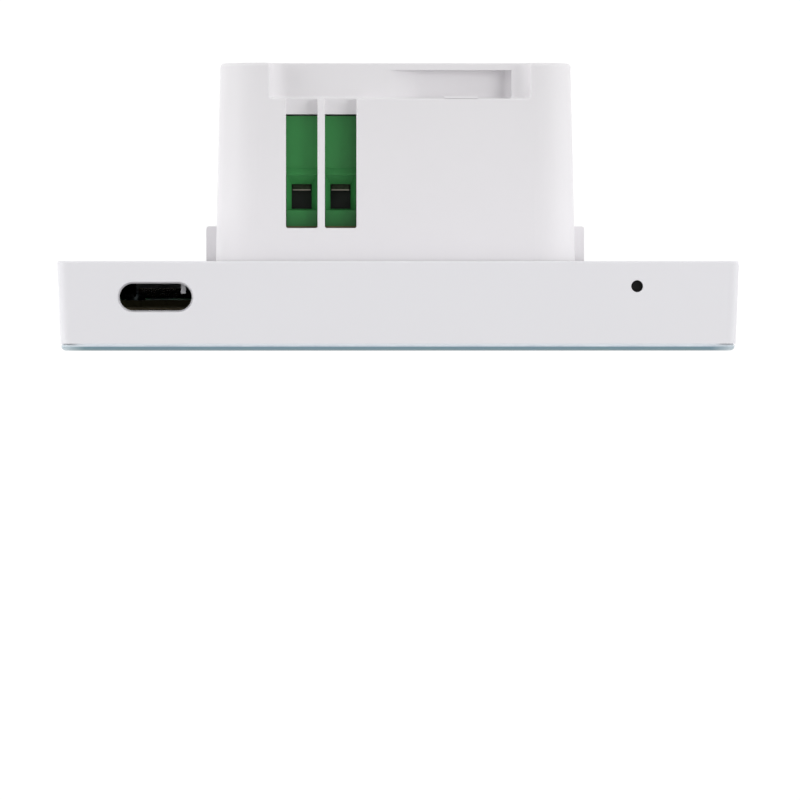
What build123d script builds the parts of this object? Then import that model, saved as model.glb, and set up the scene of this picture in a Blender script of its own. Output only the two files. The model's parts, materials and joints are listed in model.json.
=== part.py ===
from build123d import *
import os
from collections import namedtuple

# Square wall panel thermostat, in millimetres
# X is right seen from the room, Y goes into the wall, Z is up, and the wall plane is Y = 0

# Front shell and glass
PANEL_SIZE = 86.0
SHELL_DRAFT = 0.4
SHELL_WALL = 1.7
SHELL_FACE = 1.2
SHELL_CORNER_R = 1.2
SHELL_EDGE_R = 0.3
GLASS_INSET = 0.1
GLASS_THICK = 0.7
GLASS_CORNER_R = 2.0
GLASS_EDGE_R = 0.55
TAPE_THICK = 0.2
TAPE_INSET = 0.03
TAPE_CORNER_R = 2.8
DISPLAY_BORDER = 6.2
DISPLAY_THICK = 2.6
DISPLAY_GAP = 0.2

# Openings in the shell's top and bottom edges
AIR_SLOT_FROM_SIDE = 12.4
AIR_SLOT_FROM_WALL = 4.53
AIR_SLOT_LENGTH = 9.55
AIR_SLOT_WIDTH = 3.85
AIR_SLOT_DRAFT = 8.0
RIM_R = 0.15
RESET_FROM_SIDE = 12.9
PINHOLE_R = 0.75
VENT_FROM_SIDE = 16.8
VENT_FROM_WALL = 5.76
VENT_PITCH = 2.32
VENT_COUNT = 6
VENT_R = 0.705
LOCK_FROM_WALL = 3.94
LOCK_HOLE_R = 1.1
LOCK_SINK_R = 2.0
LOCK_SINK_DEPTH = 1.0

# Inner frame, control board and what they carry
FRAME_GAP = 0.2
FRAME_FLOOR = 1.0
SKIRT_WALL = 1.0
SKIRT_TO_PLATE = 0.4
SKIRT_HOLE_MARGIN = 0.4
BOARD_THICK = 1.2
BOARD_STANDOFF = 0.8
BOARD_EDGE_GAP = 0.6
BOARD_CHAMFER = 4.0
BOARD_BOSS_R = 1.8
AIR_NOTCH_DEPTH = 8.0
AIR_NOTCH_MARGIN = 2.0
LUG_NOTCH_MARGIN = 1.5
SENSOR_TONGUE_HEIGHT = 9.0
SENSOR_SLIT = 1.6
SWITCH_HEIGHT = 2.7
SWITCH_WIDTH = 6.0
SWITCH_LENGTH = 4.2
SWITCH_AXIS_HEIGHT = 1.83
PLUNGER_R = 0.95
PLUNGER_BORE_GAP = 0.05
PLUNGER_BORE_DEPTH = 2.9
PLUNGER_TRAVEL_ROOM = 0.4
PLUNGER_TIP_GAP = 0.3
MESH_THICK = 0.25
MESH_MARGIN = 1.5
SENSOR_SIZE = 3.0
SENSOR_THICK = 1.0
PROCESSOR_SIZE = 10.0
PROCESSOR_THICK = 0.9
PROCESSOR_X = -8.0
PROCESSOR_Z = 11.0
MODULE_WIDTH = 10.0
MODULE_HEIGHT = 16.0
MODULE_BOARD_THICK = 0.8
MODULE_CAN_THICK = 1.4
MODULE_CAN_INSET = 0.5
MODULE_ANTENNA = 4.0
MODULE_EDGE_GAP = 0.8
FLEX_WIDTH = 12.0
FLEX_THICK = 0.2
FLEX_FROM_EDGE = 12.8
FLEX_BEND_R = 0.6
FLEX_RISE = 4.0
FLEX_SLOT_GAP = 0.9
FLEX_LIFT = 0.4
CONNECTOR_HEIGHT = 1.1
CONNECTOR_DEPTH = 3.2
CONNECTOR_SIDE = 1.2

# Small fasteners of the front unit
SCREW_R = 0.7
SCREW_LENGTH = 2.6
SCREW_HEAD_R = 1.3
SCREW_HEAD_THICK = 0.8
SCREW_GAP = 0.05
SCREW_SLOT = 0.35
CORNER_SCREW_INSET = 1.5
CORNER_BOSS_R = 1.6
CORNER_BOSS_GAP = 0.3
BOARD_SCREW_FROM_SIDE = 4.5
BOARD_SCREW_FROM_TOP = 14.0
BOARD_SCREW_FROM_BOTTOM = 5.0
BOARD_SCREW_MID_X = -13.0

# Mounting plate
PLATE_GAP = 0.4
PLATE_THICK = 1.8
PLATE_CLEAR = 0.5
PLATE_CORNER_R = 1.5
WALL_SLOT_SPACING = 60.0
WALL_SLOT_LENGTH = 8.0
WALL_SLOT_WIDTH = 4.2
CLIP_THICK = 1.2
CLIP_WIDTH = 8.0
CLIP_REACH = 3.2
CLIP_GAP = 0.3
CLIP_FROM_EDGE = 19.9
CLIP_TIP_CHAMFER = 0.5
LUG_WIDTH = 7.0
LUG_DEPTH = 3.6
LUG_BEYOND_SCREW = 2.1
LUG_HOLE_R = 1.07
STAY_THICK = 0.6
STAY_REACH = 2.3
STAY_INSET = 1.0
STAY_HEIGHT = 5.0
STAY_BELOW_SKIRT = 0.4

# Rear box
BOX_SIZE = 46.4
BOX_DRAFT = 0.6
BOX_WALL = 1.8
BOX_CORNER_R = 5.3
BOX_EDGE_R = 0.45
BOX_IN_PLATE_GAP = 0.25
MOUTH_R = 0.2
FLANGE_WIDTH = 2.8
FLANGE_THICK = 1.0
HOOK_REACH = 1.25
HOOK_LENGTH = 4.5
HOOK_WIDTH = 8.0
HOOK_FROM_MIDDLE = 12.0
HOOK_R = 0.35
HOOK_SEAT = 0.8
HOOK_GAP = 0.2
RECESS_X = 0.5
RECESS_WIDTH = 33.6
RECESS_DEPTH = 4.6
RECESS_FLOOR = 2.0
RECESS_DROP = 2.5
RECESS_R = 2.2
RECESS_FLOOR_R = 0.4
POCKET_WIDTH = 15.6
POCKET_FROM_END = 2.4
POCKET_RAMP = 3.8
POCKET_DROP = 1.7
POCKET_END_DROP = 2.5
POCKET_RAMP_R = 4.0
POCKET_R = 0.9
POCKET_REAR_WALL = 0.9
NUB_X = 8.4
NUB_LENGTH = 4.3
NUB_HEIGHT = 0.3
NUB_WIDTH = 1.2
NOTCH_WIDTH = 4.05
NOTCH_LEAD = 0.25
NOTCH_R = 0.25
ACCESS_HOLE_R = 1.9
ACCESS_TUBE_WALL = 1.0
WINDOW_WIDTH = 10.7
WINDOW_HEIGHT = 6.66
WINDOW_LEAD = 0.67
WINDOW_SHIFT = 0.44
WINDOW_R = 0.15
TROUGH_X = -0.18
TROUGH_FRONT_WIDTH = 8.93
TROUGH_REAR_WIDTH = 10.2
TROUGH_REAR_DEPTH = 3.0
TROUGH_R = 2.2
TROUGH_WALL = 1.6
TROUGH_OVER_WIRE = 0.6
TROUGH_LIP_R = 0.4

# Power board and what it carries
POWER_BOARD_FROM_WALL = 2.9
POWER_BOARD_THICK = 1.6
POWER_BOARD_GAP = 0.35
POWER_BOARD_R = 3.2
POST_INSET = 2.7
POST_R = 3.4
POST_LENGTH = 8.0
POST_SCREW_R = 1.2
POST_SCREW_LENGTH = 8.0
POST_SCREW_HEAD_R = 2.3
POST_SCREW_HEAD_THICK = 1.4
POST_SCREW_SLOT = 0.6
HEADER_X = 8.0
HEADER_Z = -9.0
HEADER_PITCH = 2.54
HEADER_COLUMNS = 4
HEADER_ROWS = 2
HEADER_STRIP_THICK = 2.5
PIN_SIZE = 0.64
PIN_GAP = 0.08
PIN_TAIL = 0.5
PIN_ENGAGED = 3.6
SOCKET_GAP = 0.3
SOCKET_FLOOR = 0.8
RELAY_LENGTH = 16.0
RELAY_WIDTH = 7.2
RELAY_HEIGHT = 10.2
RELAY_EDGE_GAP = 2.7
RELAY_POST_GAP = 0.5
PART_EDGE_R = 0.5
CORE_WIDTH = 15.0
CORE_HEIGHT = 10.2
CORE_THICK = 5.0
CORE_LEG = 5.0
CORE_YOKE = 1.5
CORE_OUTER_LEG = 1.8
CORE_EDGE_GAP = 1.5
BOBBIN_BASE = 1.8
BOBBIN_DEPTH = 14.4
BOBBIN_WALL = 0.4
BOBBIN_FLANGE = 0.6
BOBBIN_FIT = 0.1
WINDING_INSET = 0.3
FILTER_R = 4.0
FILTER_HEIGHT = 12.0
FILTER_X = 5.0
FILTER_Z = 2.5
OUTPUT_R = 3.2
OUTPUT_HEIGHT = 8.0
OUTPUT_X = 14.5
OUTPUT_Z = 2.0
CAN_EDGE_R = 0.5
LEAD_R = 0.3
LEAD_SPACING = 3.5
VARISTOR_R = 3.75
VARISTOR_THICK = 3.6
VARISTOR_X = 13.0
VARISTOR_Z = -8.0
VARISTOR_LIFT = 0.6
FUSE_LENGTH = 8.5
FUSE_WIDTH = 4.3
FUSE_HEIGHT = 8.0
FUSE_X = 13.0
FUSE_Z = -15.0

# Screw terminals, in their own frame: x across, y out of the wire entry, z out of the screw well
POWER_X = -9.62
SIGNAL_X = -0.73
TERMINAL_PITCH = 5.0
TERMINAL_GAP = 0.15
TERMINAL_TO_FLOOR = 0.2
SIGNAL_STANDOFF = 1.6
SIGNAL_FOOT_SINK = 3.2
WIRE_HOLE_WIDTH = 2.6
WIRE_HOLE_HEIGHT = 3.2
FUNNEL_WIDTH = 3.9
FUNNEL_BELOW = 0.2
FUNNEL_ABOVE = 1.2
FUNNEL_DEPTH = 1.0
WELL_R = 1.95
WELL_RIM = 0.12
HEAD_R = 1.72
HEAD_THICK = 1.0
HEAD_CHAMFER = 0.2
SEAT_THICK = 0.5
SHANK_R = 1.2
SHANK_GAP = 0.08
DRIVE_SLOT_WIDTH = 0.55
DRIVE_SLOT_DEPTH = 0.55
DRIVE_CROSS_SPAN = 2.2
DRIVE_CROSS_DEPTH = 0.8
BAR_THICK = 0.8
BAR_WIDTH = 2.3
BAR_GAP = 0.05
PIN_LEG_WIDTH = 1.0
PIN_LEG_THICK = 0.8
PIN_LEG_INSET = 0.6
PIN_PROUD = 0.9
CAGE_WALL = 0.5
CAGE_END = 0.6
CAGE_DEPTH = 3.6
CAGE_GAP = 0.12
POLE_GROOVE_WIDTH = 1.1
POLE_GROOVE_DEPTH = 0.3
LEDGE_FROM_TOP = 6.7
LEDGE_STEP = 0.9
SIGNAL_SLOPE_RUN = 0.6
SIGNAL_SLOPE_DROP = 2.2
SIGNAL_LIP = 0.25
POWER_SCREW_TURNS = (20, 70)
SIGNAL_SCREW_TURNS = (0, 45)

# How far cutting solids run past the faces they cut
PAST = 1.0

Terminal = namedtuple("Terminal", "height front back entry head_sink")
POWER = Terminal(height=14.2, front=5.0, back=5.0, entry=10.37, head_sink=1.2)
SIGNAL = Terminal(height=10.0, front=3.43, back=2.52, entry=6.2, head_sink=1.0)

# Depths of the front unit, worked out from the wall plane towards the room
plate_front = -PLATE_THICK
board_rear = plate_front - PLATE_CLEAR - SWITCH_HEIGHT
board_front = board_rear - BOARD_THICK
floor_rear = board_front - BOARD_STANDOFF
floor_front = floor_rear - FRAME_FLOOR
glass_rear = floor_front - DISPLAY_THICK
glass_front = glass_rear - GLASS_THICK
shell_front = glass_rear + TAPE_THICK
face_rear = shell_front + SHELL_FACE

# Widths of what nests inside the shell
glass_size = PANEL_SIZE - 2 * (SHELL_DRAFT + GLASS_INSET)
shell_inner = PANEL_SIZE - 2 * SHELL_WALL
frame_size = shell_inner - 2 * FRAME_GAP
skirt_inner = frame_size - 2 * SKIRT_WALL
skirt_rear = plate_front - SKIRT_TO_PLATE
display_size = PANEL_SIZE - 2 * DISPLAY_BORDER
display_pocket = display_size + 2 * DISPLAY_GAP
plate_size = shell_inner - 2 * PLATE_GAP
clip_z = plate_size / 2 - CLIP_FROM_EDGE
clip_outer = skirt_inner / 2 - CLIP_GAP
board_size = 2 * (clip_outer - CLIP_THICK - BOARD_EDGE_GAP)
lug_bottom = -plate_size / 2
lug_top = lug_bottom + LUG_DEPTH
corner_screw = display_pocket / 2 + CORNER_SCREW_INSET
reset_y = board_rear + SWITCH_AXIS_HEIGHT
switch_top = board_size / 2
plunger_tip = skirt_inner / 2 - PLUNGER_TIP_GAP
vent_span = VENT_PITCH * (VENT_COUNT - 1) + 2 * VENT_R
vent_x = VENT_FROM_SIDE - PANEL_SIZE / 2
air_slot_x = AIR_SLOT_FROM_SIDE - PANEL_SIZE / 2
reset_x = PANEL_SIZE / 2 - RESET_FROM_SIDE
flex_z = FLEX_FROM_EDGE - display_size / 2

# Depths and heights of the rear box and its terminals
power_board_rear = POWER_BOARD_FROM_WALL + POWER_BOARD_THICK
power_screw_face = power_board_rear + POWER.height
recess_floor_inner = power_screw_face + TERMINAL_TO_FLOOR
recess_floor = recess_floor_inner + RECESS_FLOOR
box_depth = recess_floor + RECESS_DEPTH
flange_front = plate_front - FLANGE_THICK


def box_half(y):
    """Half the rear box's width at depth y, where its walls draw in."""
    return BOX_SIZE / 2 - BOX_DRAFT * y / box_depth


power_entry_face = box_half(power_screw_face) - BOX_WALL - TERMINAL_GAP
power_screw_z = power_entry_face - POWER.front
signal_screw_y = power_board_rear + SIGNAL_STANDOFF + SIGNAL.back
signal_front = signal_screw_y + SIGNAL.front
signal_screw_face = -(box_half(signal_front) - BOX_WALL - TERMINAL_GAP)
signal_wire_z = signal_screw_face + SIGNAL.entry
recess_shelf = box_half(recess_floor) - RECESS_DROP
trough_front = signal_front + TERMINAL_TO_FLOOR + TROUGH_WALL
trough_top = signal_wire_z + WIRE_HOLE_HEIGHT / 2 + TROUGH_OVER_WIRE
power_board_half = box_half(power_board_rear) - BOX_WALL - POWER_BOARD_GAP
post_at = power_board_half - POST_INSET
socket_front = board_rear + HEADER_STRIP_THICK + SOCKET_GAP
pole_offsets = (-TERMINAL_PITCH / 2, TERMINAL_PITCH / 2)


def front_plane(y):
    """Plane at depth y that faces the room, with X and Z as its axes."""
    return Plane(origin=(0, y, 0), x_dir=(1, 0, 0), z_dir=(0, -1, 0))


def slab(sketch, front, rear):
    """Solid of a front-view sketch between two depths."""
    return extrude(front_plane(rear) * sketch, amount=rear - front)


def upright(sketch, low, high):
    """Solid of a plan-view sketch, in X and Y, between two heights."""
    return extrude(Plane.XY.offset(low) * sketch, amount=high - low)


def block(x, y, z):
    """Box between two limits along each axis."""
    centre = [(pair[0] + pair[1]) / 2 for pair in (x, y, z)]
    return Pos(*centre) * Box(x[1] - x[0], y[1] - y[0], z[1] - z[0])


def tapered(front_size, front_r, front, rear_size, rear_r, rear):
    """Solid that runs straight from one rounded square to another."""
    low = front_plane(front) * RectangleRounded(front_size, front_size, front_r)
    high = front_plane(rear) * RectangleRounded(rear_size, rear_size, rear_r)
    return loft([low, high], ruled=True)


def at_each(points, sketch):
    """Copies of a sketch at a list of points."""
    return Sketch() + [Pos(*point) * sketch for point in points]


def around(middle, reach):
    """Limits that lie equally far on both sides of a middle."""
    return (middle - reach, middle + reach)


def edges_within(shape, x, y, z):
    """Edges whose centres lie between two limits along each axis."""
    edges = shape.edges().filter_by_position(Axis.X, *x)
    return edges.filter_by_position(Axis.Y, *y).filter_by_position(Axis.Z, *z)


def header_points():
    """Places of the header's pins in X and Z."""
    across = [(i - (HEADER_COLUMNS - 1) / 2) * HEADER_PITCH for i in range(HEADER_COLUMNS)]
    up = [(i - (HEADER_ROWS - 1) / 2) * HEADER_PITCH for i in range(HEADER_ROWS)]
    return [(HEADER_X + x, HEADER_Z + z) for x in across for z in up]


def corner_points():
    """Places of the four corner screws in X and Z."""
    return [(sx * corner_screw, sz * corner_screw) for sx in (-1, 1) for sz in (-1, 1)]


def board_points():
    """Places of the control board's screws in X and Z."""
    side = board_size / 2 - BOARD_SCREW_FROM_SIDE
    top = board_size / 2 - BOARD_SCREW_FROM_TOP
    bottom = BOARD_SCREW_FROM_BOTTOM - board_size / 2
    return [(-side, top), (side, top), (side, bottom), (BOARD_SCREW_MID_X, bottom)]


def post_points():
    """Places of the power board's screws in X and Z."""
    return [(-post_at, -post_at), (post_at, post_at)]


def vent_points():
    """Places of the air holes in X and Y."""
    return [(vent_x + (i - (VENT_COUNT - 1) / 2) * VENT_PITCH, -VENT_FROM_WALL) for i in range(VENT_COUNT)]


def front_shell():
    """White drafted shell with its edge openings and the corner bosses behind its face."""
    front_size = PANEL_SIZE - 2 * SHELL_DRAFT
    shell = tapered(front_size, SHELL_CORNER_R, shell_front, PANEL_SIZE, SHELL_CORNER_R, 0)
    shell = fillet(shell.edges().group_by(Axis.Y)[-1], SHELL_EDGE_R)
    shell -= slab(Rectangle(shell_inner, shell_inner), face_rear, PAST)
    shell -= slab(Rectangle(display_pocket, display_pocket), shell_front - PAST, face_rear + PAST)
    shell += slab(at_each(corner_points(), Circle(CORNER_BOSS_R)), face_rear, floor_front)
    screw_end = floor_rear - SCREW_LENGTH - SCREW_GAP
    shell -= slab(at_each(corner_points(), Circle(SCREW_R + SCREW_GAP)), screw_end, floor_front)
    inside = shell_inner / 2 - PAST
    outside = PANEL_SIZE / 2 + PAST
    slot = Pos(air_slot_x, -AIR_SLOT_FROM_WALL) * SlotOverall(AIR_SLOT_LENGTH, AIR_SLOT_WIDTH)
    slot_face = Plane.XY.offset(PANEL_SIZE / 2) * slot
    shell -= extrude(slot_face, amount=inside - PANEL_SIZE / 2, taper=AIR_SLOT_DRAFT)
    shell -= upright(Pos(reset_x, reset_y) * Circle(PINHOLE_R), inside, outside)
    shell -= upright(at_each(vent_points(), Circle(VENT_R)), -outside, -inside)
    shell -= upright(Pos(0, -LOCK_FROM_WALL) * Circle(LOCK_HOLE_R), -outside, -inside)
    sink_z = -PANEL_SIZE / 2 + LOCK_SINK_DEPTH / 2
    shell -= Pos(0, -LOCK_FROM_WALL, sink_z) * Cone(LOCK_SINK_R, LOCK_HOLE_R, LOCK_SINK_DEPTH)
    across = (-shell_inner / 2, shell_inner / 2)
    along = (shell_front + SHELL_FACE, -SHELL_FACE)
    face = (PANEL_SIZE / 2 - SHELL_DRAFT, PANEL_SIZE / 2)
    rims = edges_within(shell, across, along, face)
    rims += edges_within(shell, across, along, (-face[1], -face[0]))
    return fillet(rims, RIM_R)


def glass_panel():
    """Front glass with a softened front edge."""
    glass = slab(RectangleRounded(glass_size, glass_size, GLASS_CORNER_R), glass_front, glass_rear)
    return fillet(glass.edges().group_by(Axis.Y)[0], GLASS_EDGE_R)


def glass_adhesive():
    """Ring of tape between the glass and the shell's face."""
    outer = glass_size - 2 * TAPE_INSET
    ring = RectangleRounded(outer, outer, TAPE_CORNER_R) - Rectangle(display_pocket, display_pocket)
    return slab(ring, glass_rear, shell_front)


def display_module():
    """Display panel, bonded to the back of the glass."""
    return slab(Rectangle(display_size, display_size), glass_rear, floor_front)


def flex_slot():
    """Hole that the display's ribbon passes through, in X and Z."""
    width = FLEX_WIDTH + 2 * FLEX_SLOT_GAP
    return Pos(0, flex_z) * Rectangle(width, FLEX_THICK + 2 * FLEX_SLOT_GAP)


def inner_frame():
    """Black frame that backs the display and carries the control board."""
    frame = slab(Rectangle(frame_size, frame_size), face_rear, skirt_rear)
    frame -= slab(Rectangle(display_pocket, display_pocket), face_rear - PAST, floor_front)
    frame -= slab(Rectangle(skirt_inner, skirt_inner), floor_rear, PAST)
    boss_hole = Circle(CORNER_BOSS_R + CORNER_BOSS_GAP)
    frame -= slab(at_each(corner_points(), boss_hole), face_rear - PAST, floor_front)
    frame += slab(at_each(board_points(), Circle(BOARD_BOSS_R)), board_front, floor_rear)
    holes = at_each(corner_points() + board_points(), Circle(SCREW_R + SCREW_GAP))
    frame -= slab(holes, floor_front - PAST, board_front + PAST)
    frame -= slab(flex_slot(), floor_front - PAST, floor_rear + PAST)
    inside = skirt_inner / 2 - PAST
    outside = frame_size / 2 + PAST
    slot = SlotOverall(AIR_SLOT_LENGTH + 2 * SKIRT_HOLE_MARGIN, AIR_SLOT_WIDTH + 2 * SKIRT_HOLE_MARGIN)
    frame -= upright(Pos(air_slot_x, -AIR_SLOT_FROM_WALL) * slot, inside, outside)
    frame -= upright(Pos(reset_x, reset_y) * Circle(PINHOLE_R + SKIRT_HOLE_MARGIN), inside, outside)
    mesh_room = Rectangle(mesh_length() + 2 * SKIRT_HOLE_MARGIN, mesh_width() + 2 * SKIRT_HOLE_MARGIN)
    frame -= upright(Pos(vent_x, -VENT_FROM_WALL) * mesh_room, -outside, -inside)
    lug_room = LUG_WIDTH / 2 + SKIRT_HOLE_MARGIN
    frame -= block((-lug_room, lug_room), (floor_rear, 0), (-outside, -inside))
    return frame


def mesh_length():
    """Length of the dust cloth, past the outer air holes."""
    return vent_span + 2 * MESH_MARGIN


def mesh_width():
    """Width of the dust cloth, past the rims of the air holes."""
    return 2 * (VENT_R + MESH_MARGIN)


def vent_mesh():
    """Dust cloth on the inside of the air holes."""
    cloth = Pos(vent_x, -VENT_FROM_WALL) * Rectangle(mesh_length(), mesh_width())
    return upright(cloth, -shell_inner / 2, -shell_inner / 2 + MESH_THICK)


def control_board():
    """Control board with its notches and the slit tongue that carries the sensor."""
    half = board_size / 2
    outline = chamfer(Rectangle(board_size, board_size).vertices(), BOARD_CHAMFER)
    notch_right = air_slot_x + AIR_SLOT_LENGTH / 2 + AIR_NOTCH_MARGIN
    notch_width = notch_right + half
    outline -= Pos(notch_right - notch_width / 2, half) * Rectangle(notch_width, 2 * AIR_NOTCH_DEPTH)
    lug_notch = Rectangle(LUG_WIDTH + 2 * LUG_NOTCH_MARGIN, 2 * (lug_top + LUG_NOTCH_MARGIN + half))
    outline -= Pos(0, -half) * lug_notch
    tongue_right = vent_x + mesh_length() / 2
    tongue_top = -half + SENSOR_TONGUE_HEIGHT
    level_slit = Rectangle(mesh_length(), SENSOR_SLIT, align=(Align.MAX, Align.MIN))
    outline -= Pos(tongue_right, tongue_top) * level_slit
    upright_slit = Rectangle(SENSOR_SLIT, SENSOR_TONGUE_HEIGHT + SENSOR_SLIT, align=(Align.MIN, Align.MIN))
    outline -= Pos(tongue_right, -half) * upright_slit
    outline -= at_each(board_points(), Circle(SCREW_R + SCREW_GAP))
    outline -= at_each(header_points(), Rectangle(PIN_SIZE + PIN_GAP, PIN_SIZE + PIN_GAP))
    outline -= flex_slot()
    return slab(outline, board_front, board_rear)


def temperature_sensor():
    """Room sensor chip on the board's tongue, above the air holes."""
    z = -board_size / 2 + SENSOR_TONGUE_HEIGHT / 2
    return slab(Pos(vent_x, z) * Rectangle(SENSOR_SIZE, SENSOR_SIZE), board_rear, board_rear + SENSOR_THICK)


def processor():
    """Flat square processor chip."""
    chip = Pos(PROCESSOR_X, PROCESSOR_Z) * Rectangle(PROCESSOR_SIZE, PROCESSOR_SIZE)
    return slab(chip, board_rear, board_rear + PROCESSOR_THICK)


def wireless_module():
    """Radio module: a small board with a metal can and a bare antenna end."""
    x = board_size / 2 - MODULE_EDGE_GAP - MODULE_WIDTH / 2
    base_rear = board_rear + MODULE_BOARD_THICK
    module = slab(Pos(x, 0) * Rectangle(MODULE_WIDTH, MODULE_HEIGHT), board_rear, base_rear)
    can_height = MODULE_HEIGHT - MODULE_ANTENNA - MODULE_CAN_INSET
    can = Rectangle(MODULE_WIDTH - 2 * MODULE_CAN_INSET, can_height, align=(Align.CENTER, Align.MIN))
    can_low = -MODULE_HEIGHT / 2 + MODULE_CAN_INSET
    return module + slab(Pos(x, can_low) * can, base_rear, base_rear + MODULE_CAN_THICK)


def reset_switch_body():
    """Right-angle push switch behind the pinhole."""
    x = around(reset_x, SWITCH_WIDTH / 2)
    body = block(x, (board_rear, board_rear + SWITCH_HEIGHT), (switch_top - SWITCH_LENGTH, switch_top))
    bore = Pos(reset_x, reset_y) * Circle(PLUNGER_R + PLUNGER_BORE_GAP)
    return body - upright(bore, switch_top - PLUNGER_BORE_DEPTH, switch_top + PAST)


def reset_plunger():
    """Plunger of the reset switch, reached with a pin through the pinhole."""
    low = switch_top - PLUNGER_BORE_DEPTH + PLUNGER_TRAVEL_ROOM
    return upright(Pos(reset_x, reset_y) * Circle(PLUNGER_R), low, plunger_tip)


def display_flex():
    """Display ribbon: through the frame and the board, then along to its connector."""
    lift = board_rear + FLEX_LIFT
    start = floor_front + FLEX_THICK / 2
    points = [(start, flex_z), (lift, flex_z), (lift, flex_z + FLEX_RISE)]
    path = FilletPolyline(*points, radius=FLEX_BEND_R)
    outline = make_face(offset(path, FLEX_THICK / 2, side=Side.BOTH).edges())
    return extrude(Plane.YZ.offset(-FLEX_WIDTH / 2) * outline, amount=FLEX_WIDTH)


def flex_connector():
    """Connector that holds the end of the display ribbon."""
    half = FLEX_WIDTH / 2 + CONNECTOR_SIDE
    low = flex_z + FLEX_RISE - CONNECTOR_DEPTH / 2
    depth = (board_rear, board_rear + CONNECTOR_HEIGHT)
    body = block((-half, half), depth, (low, low + CONNECTOR_DEPTH))
    mouth = FLEX_WIDTH / 2 + BAR_GAP
    lift = board_rear + FLEX_LIFT
    thick = FLEX_THICK / 2 + BAR_GAP
    mouth_end = flex_z + FLEX_RISE + thick
    return body - block((-mouth, mouth), (lift - thick, lift + thick), (low - PAST, mouth_end))


def small_screw(head_front):
    """Pan-head screw that points at the room, with its head seated at the given depth."""
    shank = slab(Circle(SCREW_R), head_front - SCREW_LENGTH, head_front)
    head = slab(Circle(SCREW_HEAD_R), head_front, head_front + SCREW_HEAD_THICK)
    slot = Rectangle(2 * SCREW_HEAD_R, SCREW_SLOT) + Rectangle(SCREW_SLOT, 2 * SCREW_HEAD_R)
    return shank + head - slab(slot, head_front + SCREW_HEAD_THICK / 2, head_front + SCREW_HEAD_THICK + PAST)


def front_screws():
    """Four screws of the inner frame and four of the control board."""
    frame_set = [Pos(x, 0, z) * small_screw(floor_rear) for x, z in corner_points()]
    board_set = [Pos(x, 0, z) * small_screw(board_rear) for x, z in board_points()]
    return Compound(frame_set + board_set)


def mounting_plate():
    """Plate that is screwed to the wall box, with clips for the front and a lug for its locking screw."""
    opening = BOX_SIZE + 2 * BOX_IN_PLATE_GAP
    outline = RectangleRounded(plate_size, plate_size, PLATE_CORNER_R)
    outline -= RectangleRounded(opening, opening, BOX_CORNER_R + BOX_IN_PLATE_GAP)
    ends = [(-WALL_SLOT_SPACING / 2, 0), (WALL_SLOT_SPACING / 2, 0)]
    outline -= at_each(ends, SlotOverall(WALL_SLOT_LENGTH, WALL_SLOT_WIDTH))
    plate = slab(outline, plate_front, 0)
    rebate_x = BOX_SIZE / 2 + HOOK_REACH + HOOK_GAP
    rebate_z = HOOK_WIDTH / 2 + HOOK_GAP
    for z in (-HOOK_FROM_MIDDLE, HOOK_FROM_MIDDLE):
        plate -= block((-rebate_x, rebate_x), (-HOOK_SEAT, PAST), around(z, rebate_z))
    for side in (-1, 1):
        for z in (-clip_z, clip_z):
            x = sorted((side * clip_outer, side * (clip_outer - CLIP_THICK)))
            clip = block(x, (plate_front - CLIP_REACH, plate_front), around(z, CLIP_WIDTH / 2))
            tip = clip.edges().filter_by(Axis.Z).group_by(Axis.Y)[0]
            plate += chamfer(tip, CLIP_TIP_CHAMFER)
    lug_front = -LOCK_FROM_WALL - LUG_BEYOND_SCREW
    lug = block((-LUG_WIDTH / 2, LUG_WIDTH / 2), (lug_front, plate_front), (lug_bottom, lug_top))
    hole = Pos(0, -LOCK_FROM_WALL) * Circle(LUG_HOLE_R)
    plate += lug - upright(hole, lug_bottom - PAST, lug_top + PAST)
    stay_right = air_slot_x + AIR_SLOT_LENGTH / 2 - STAY_INSET
    stay_top = skirt_inner / 2 - STAY_BELOW_SKIRT
    stay_y = (plate_front - STAY_REACH, plate_front)
    return plate + block((stay_right - STAY_THICK, stay_right), stay_y, (stay_top - STAY_HEIGHT, stay_top))


def recess_sketch(grow):
    """Outline of the wire recess in X and Z, grown by a wall."""
    side = RECESS_WIDTH / 2 + grow
    shelf = recess_shelf - grow
    points = [(-side, BOX_SIZE), (-side, shelf), (side, shelf), (side, BOX_SIZE)]
    outline = FilletPolyline(*points, radius=[0, RECESS_R, RECESS_R, 0], close=True)
    return Pos(RECESS_X, 0) * make_face(outline.edges())


def pocket_sketch(grow):
    """Outline of the pocket that slopes down from the recess's shelf in X and Z, grown by a wall."""
    end = RECESS_WIDTH / 2 - POCKET_FROM_END
    start = end - POCKET_WIDTH
    ramp_end = start + POCKET_RAMP
    end += grow
    shelf = recess_shelf - grow
    lead = start - POCKET_RAMP
    slope = [(start, shelf), (ramp_end, shelf - POCKET_DROP), (end, shelf - POCKET_END_DROP)]
    points = [(lead, BOX_SIZE), (lead, shelf)] + slope + [(end, BOX_SIZE)]
    radii = [0, 0, POCKET_RAMP_R, POCKET_RAMP_R, POCKET_R, 0]
    return Pos(RECESS_X, 0) * make_face(FilletPolyline(*points, radius=radii, close=True).edges())


def access_points():
    """Places of the screwdriver holes for the power screws in X and Z."""
    return [(POWER_X + dx, power_screw_z) for dx in pole_offsets]


def trough_solid(grow, front):
    """Wire trough that gets wider and shallower towards the rear, grown by a wall."""
    ends = []
    for y, width, depth in (
        (front, TROUGH_FRONT_WIDTH, box_half(trough_front) + trough_top),
        (box_depth + PAST, TROUGH_REAR_WIDTH, TROUGH_REAR_DEPTH),
    ):
        section = RectangleRounded(width + 2 * grow, 2 * (depth + grow), TROUGH_R)
        ends.append(front_plane(y) * Pos(TROUGH_X, -box_half(y)) * section)
    return loft(ends, ruled=True)


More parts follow.
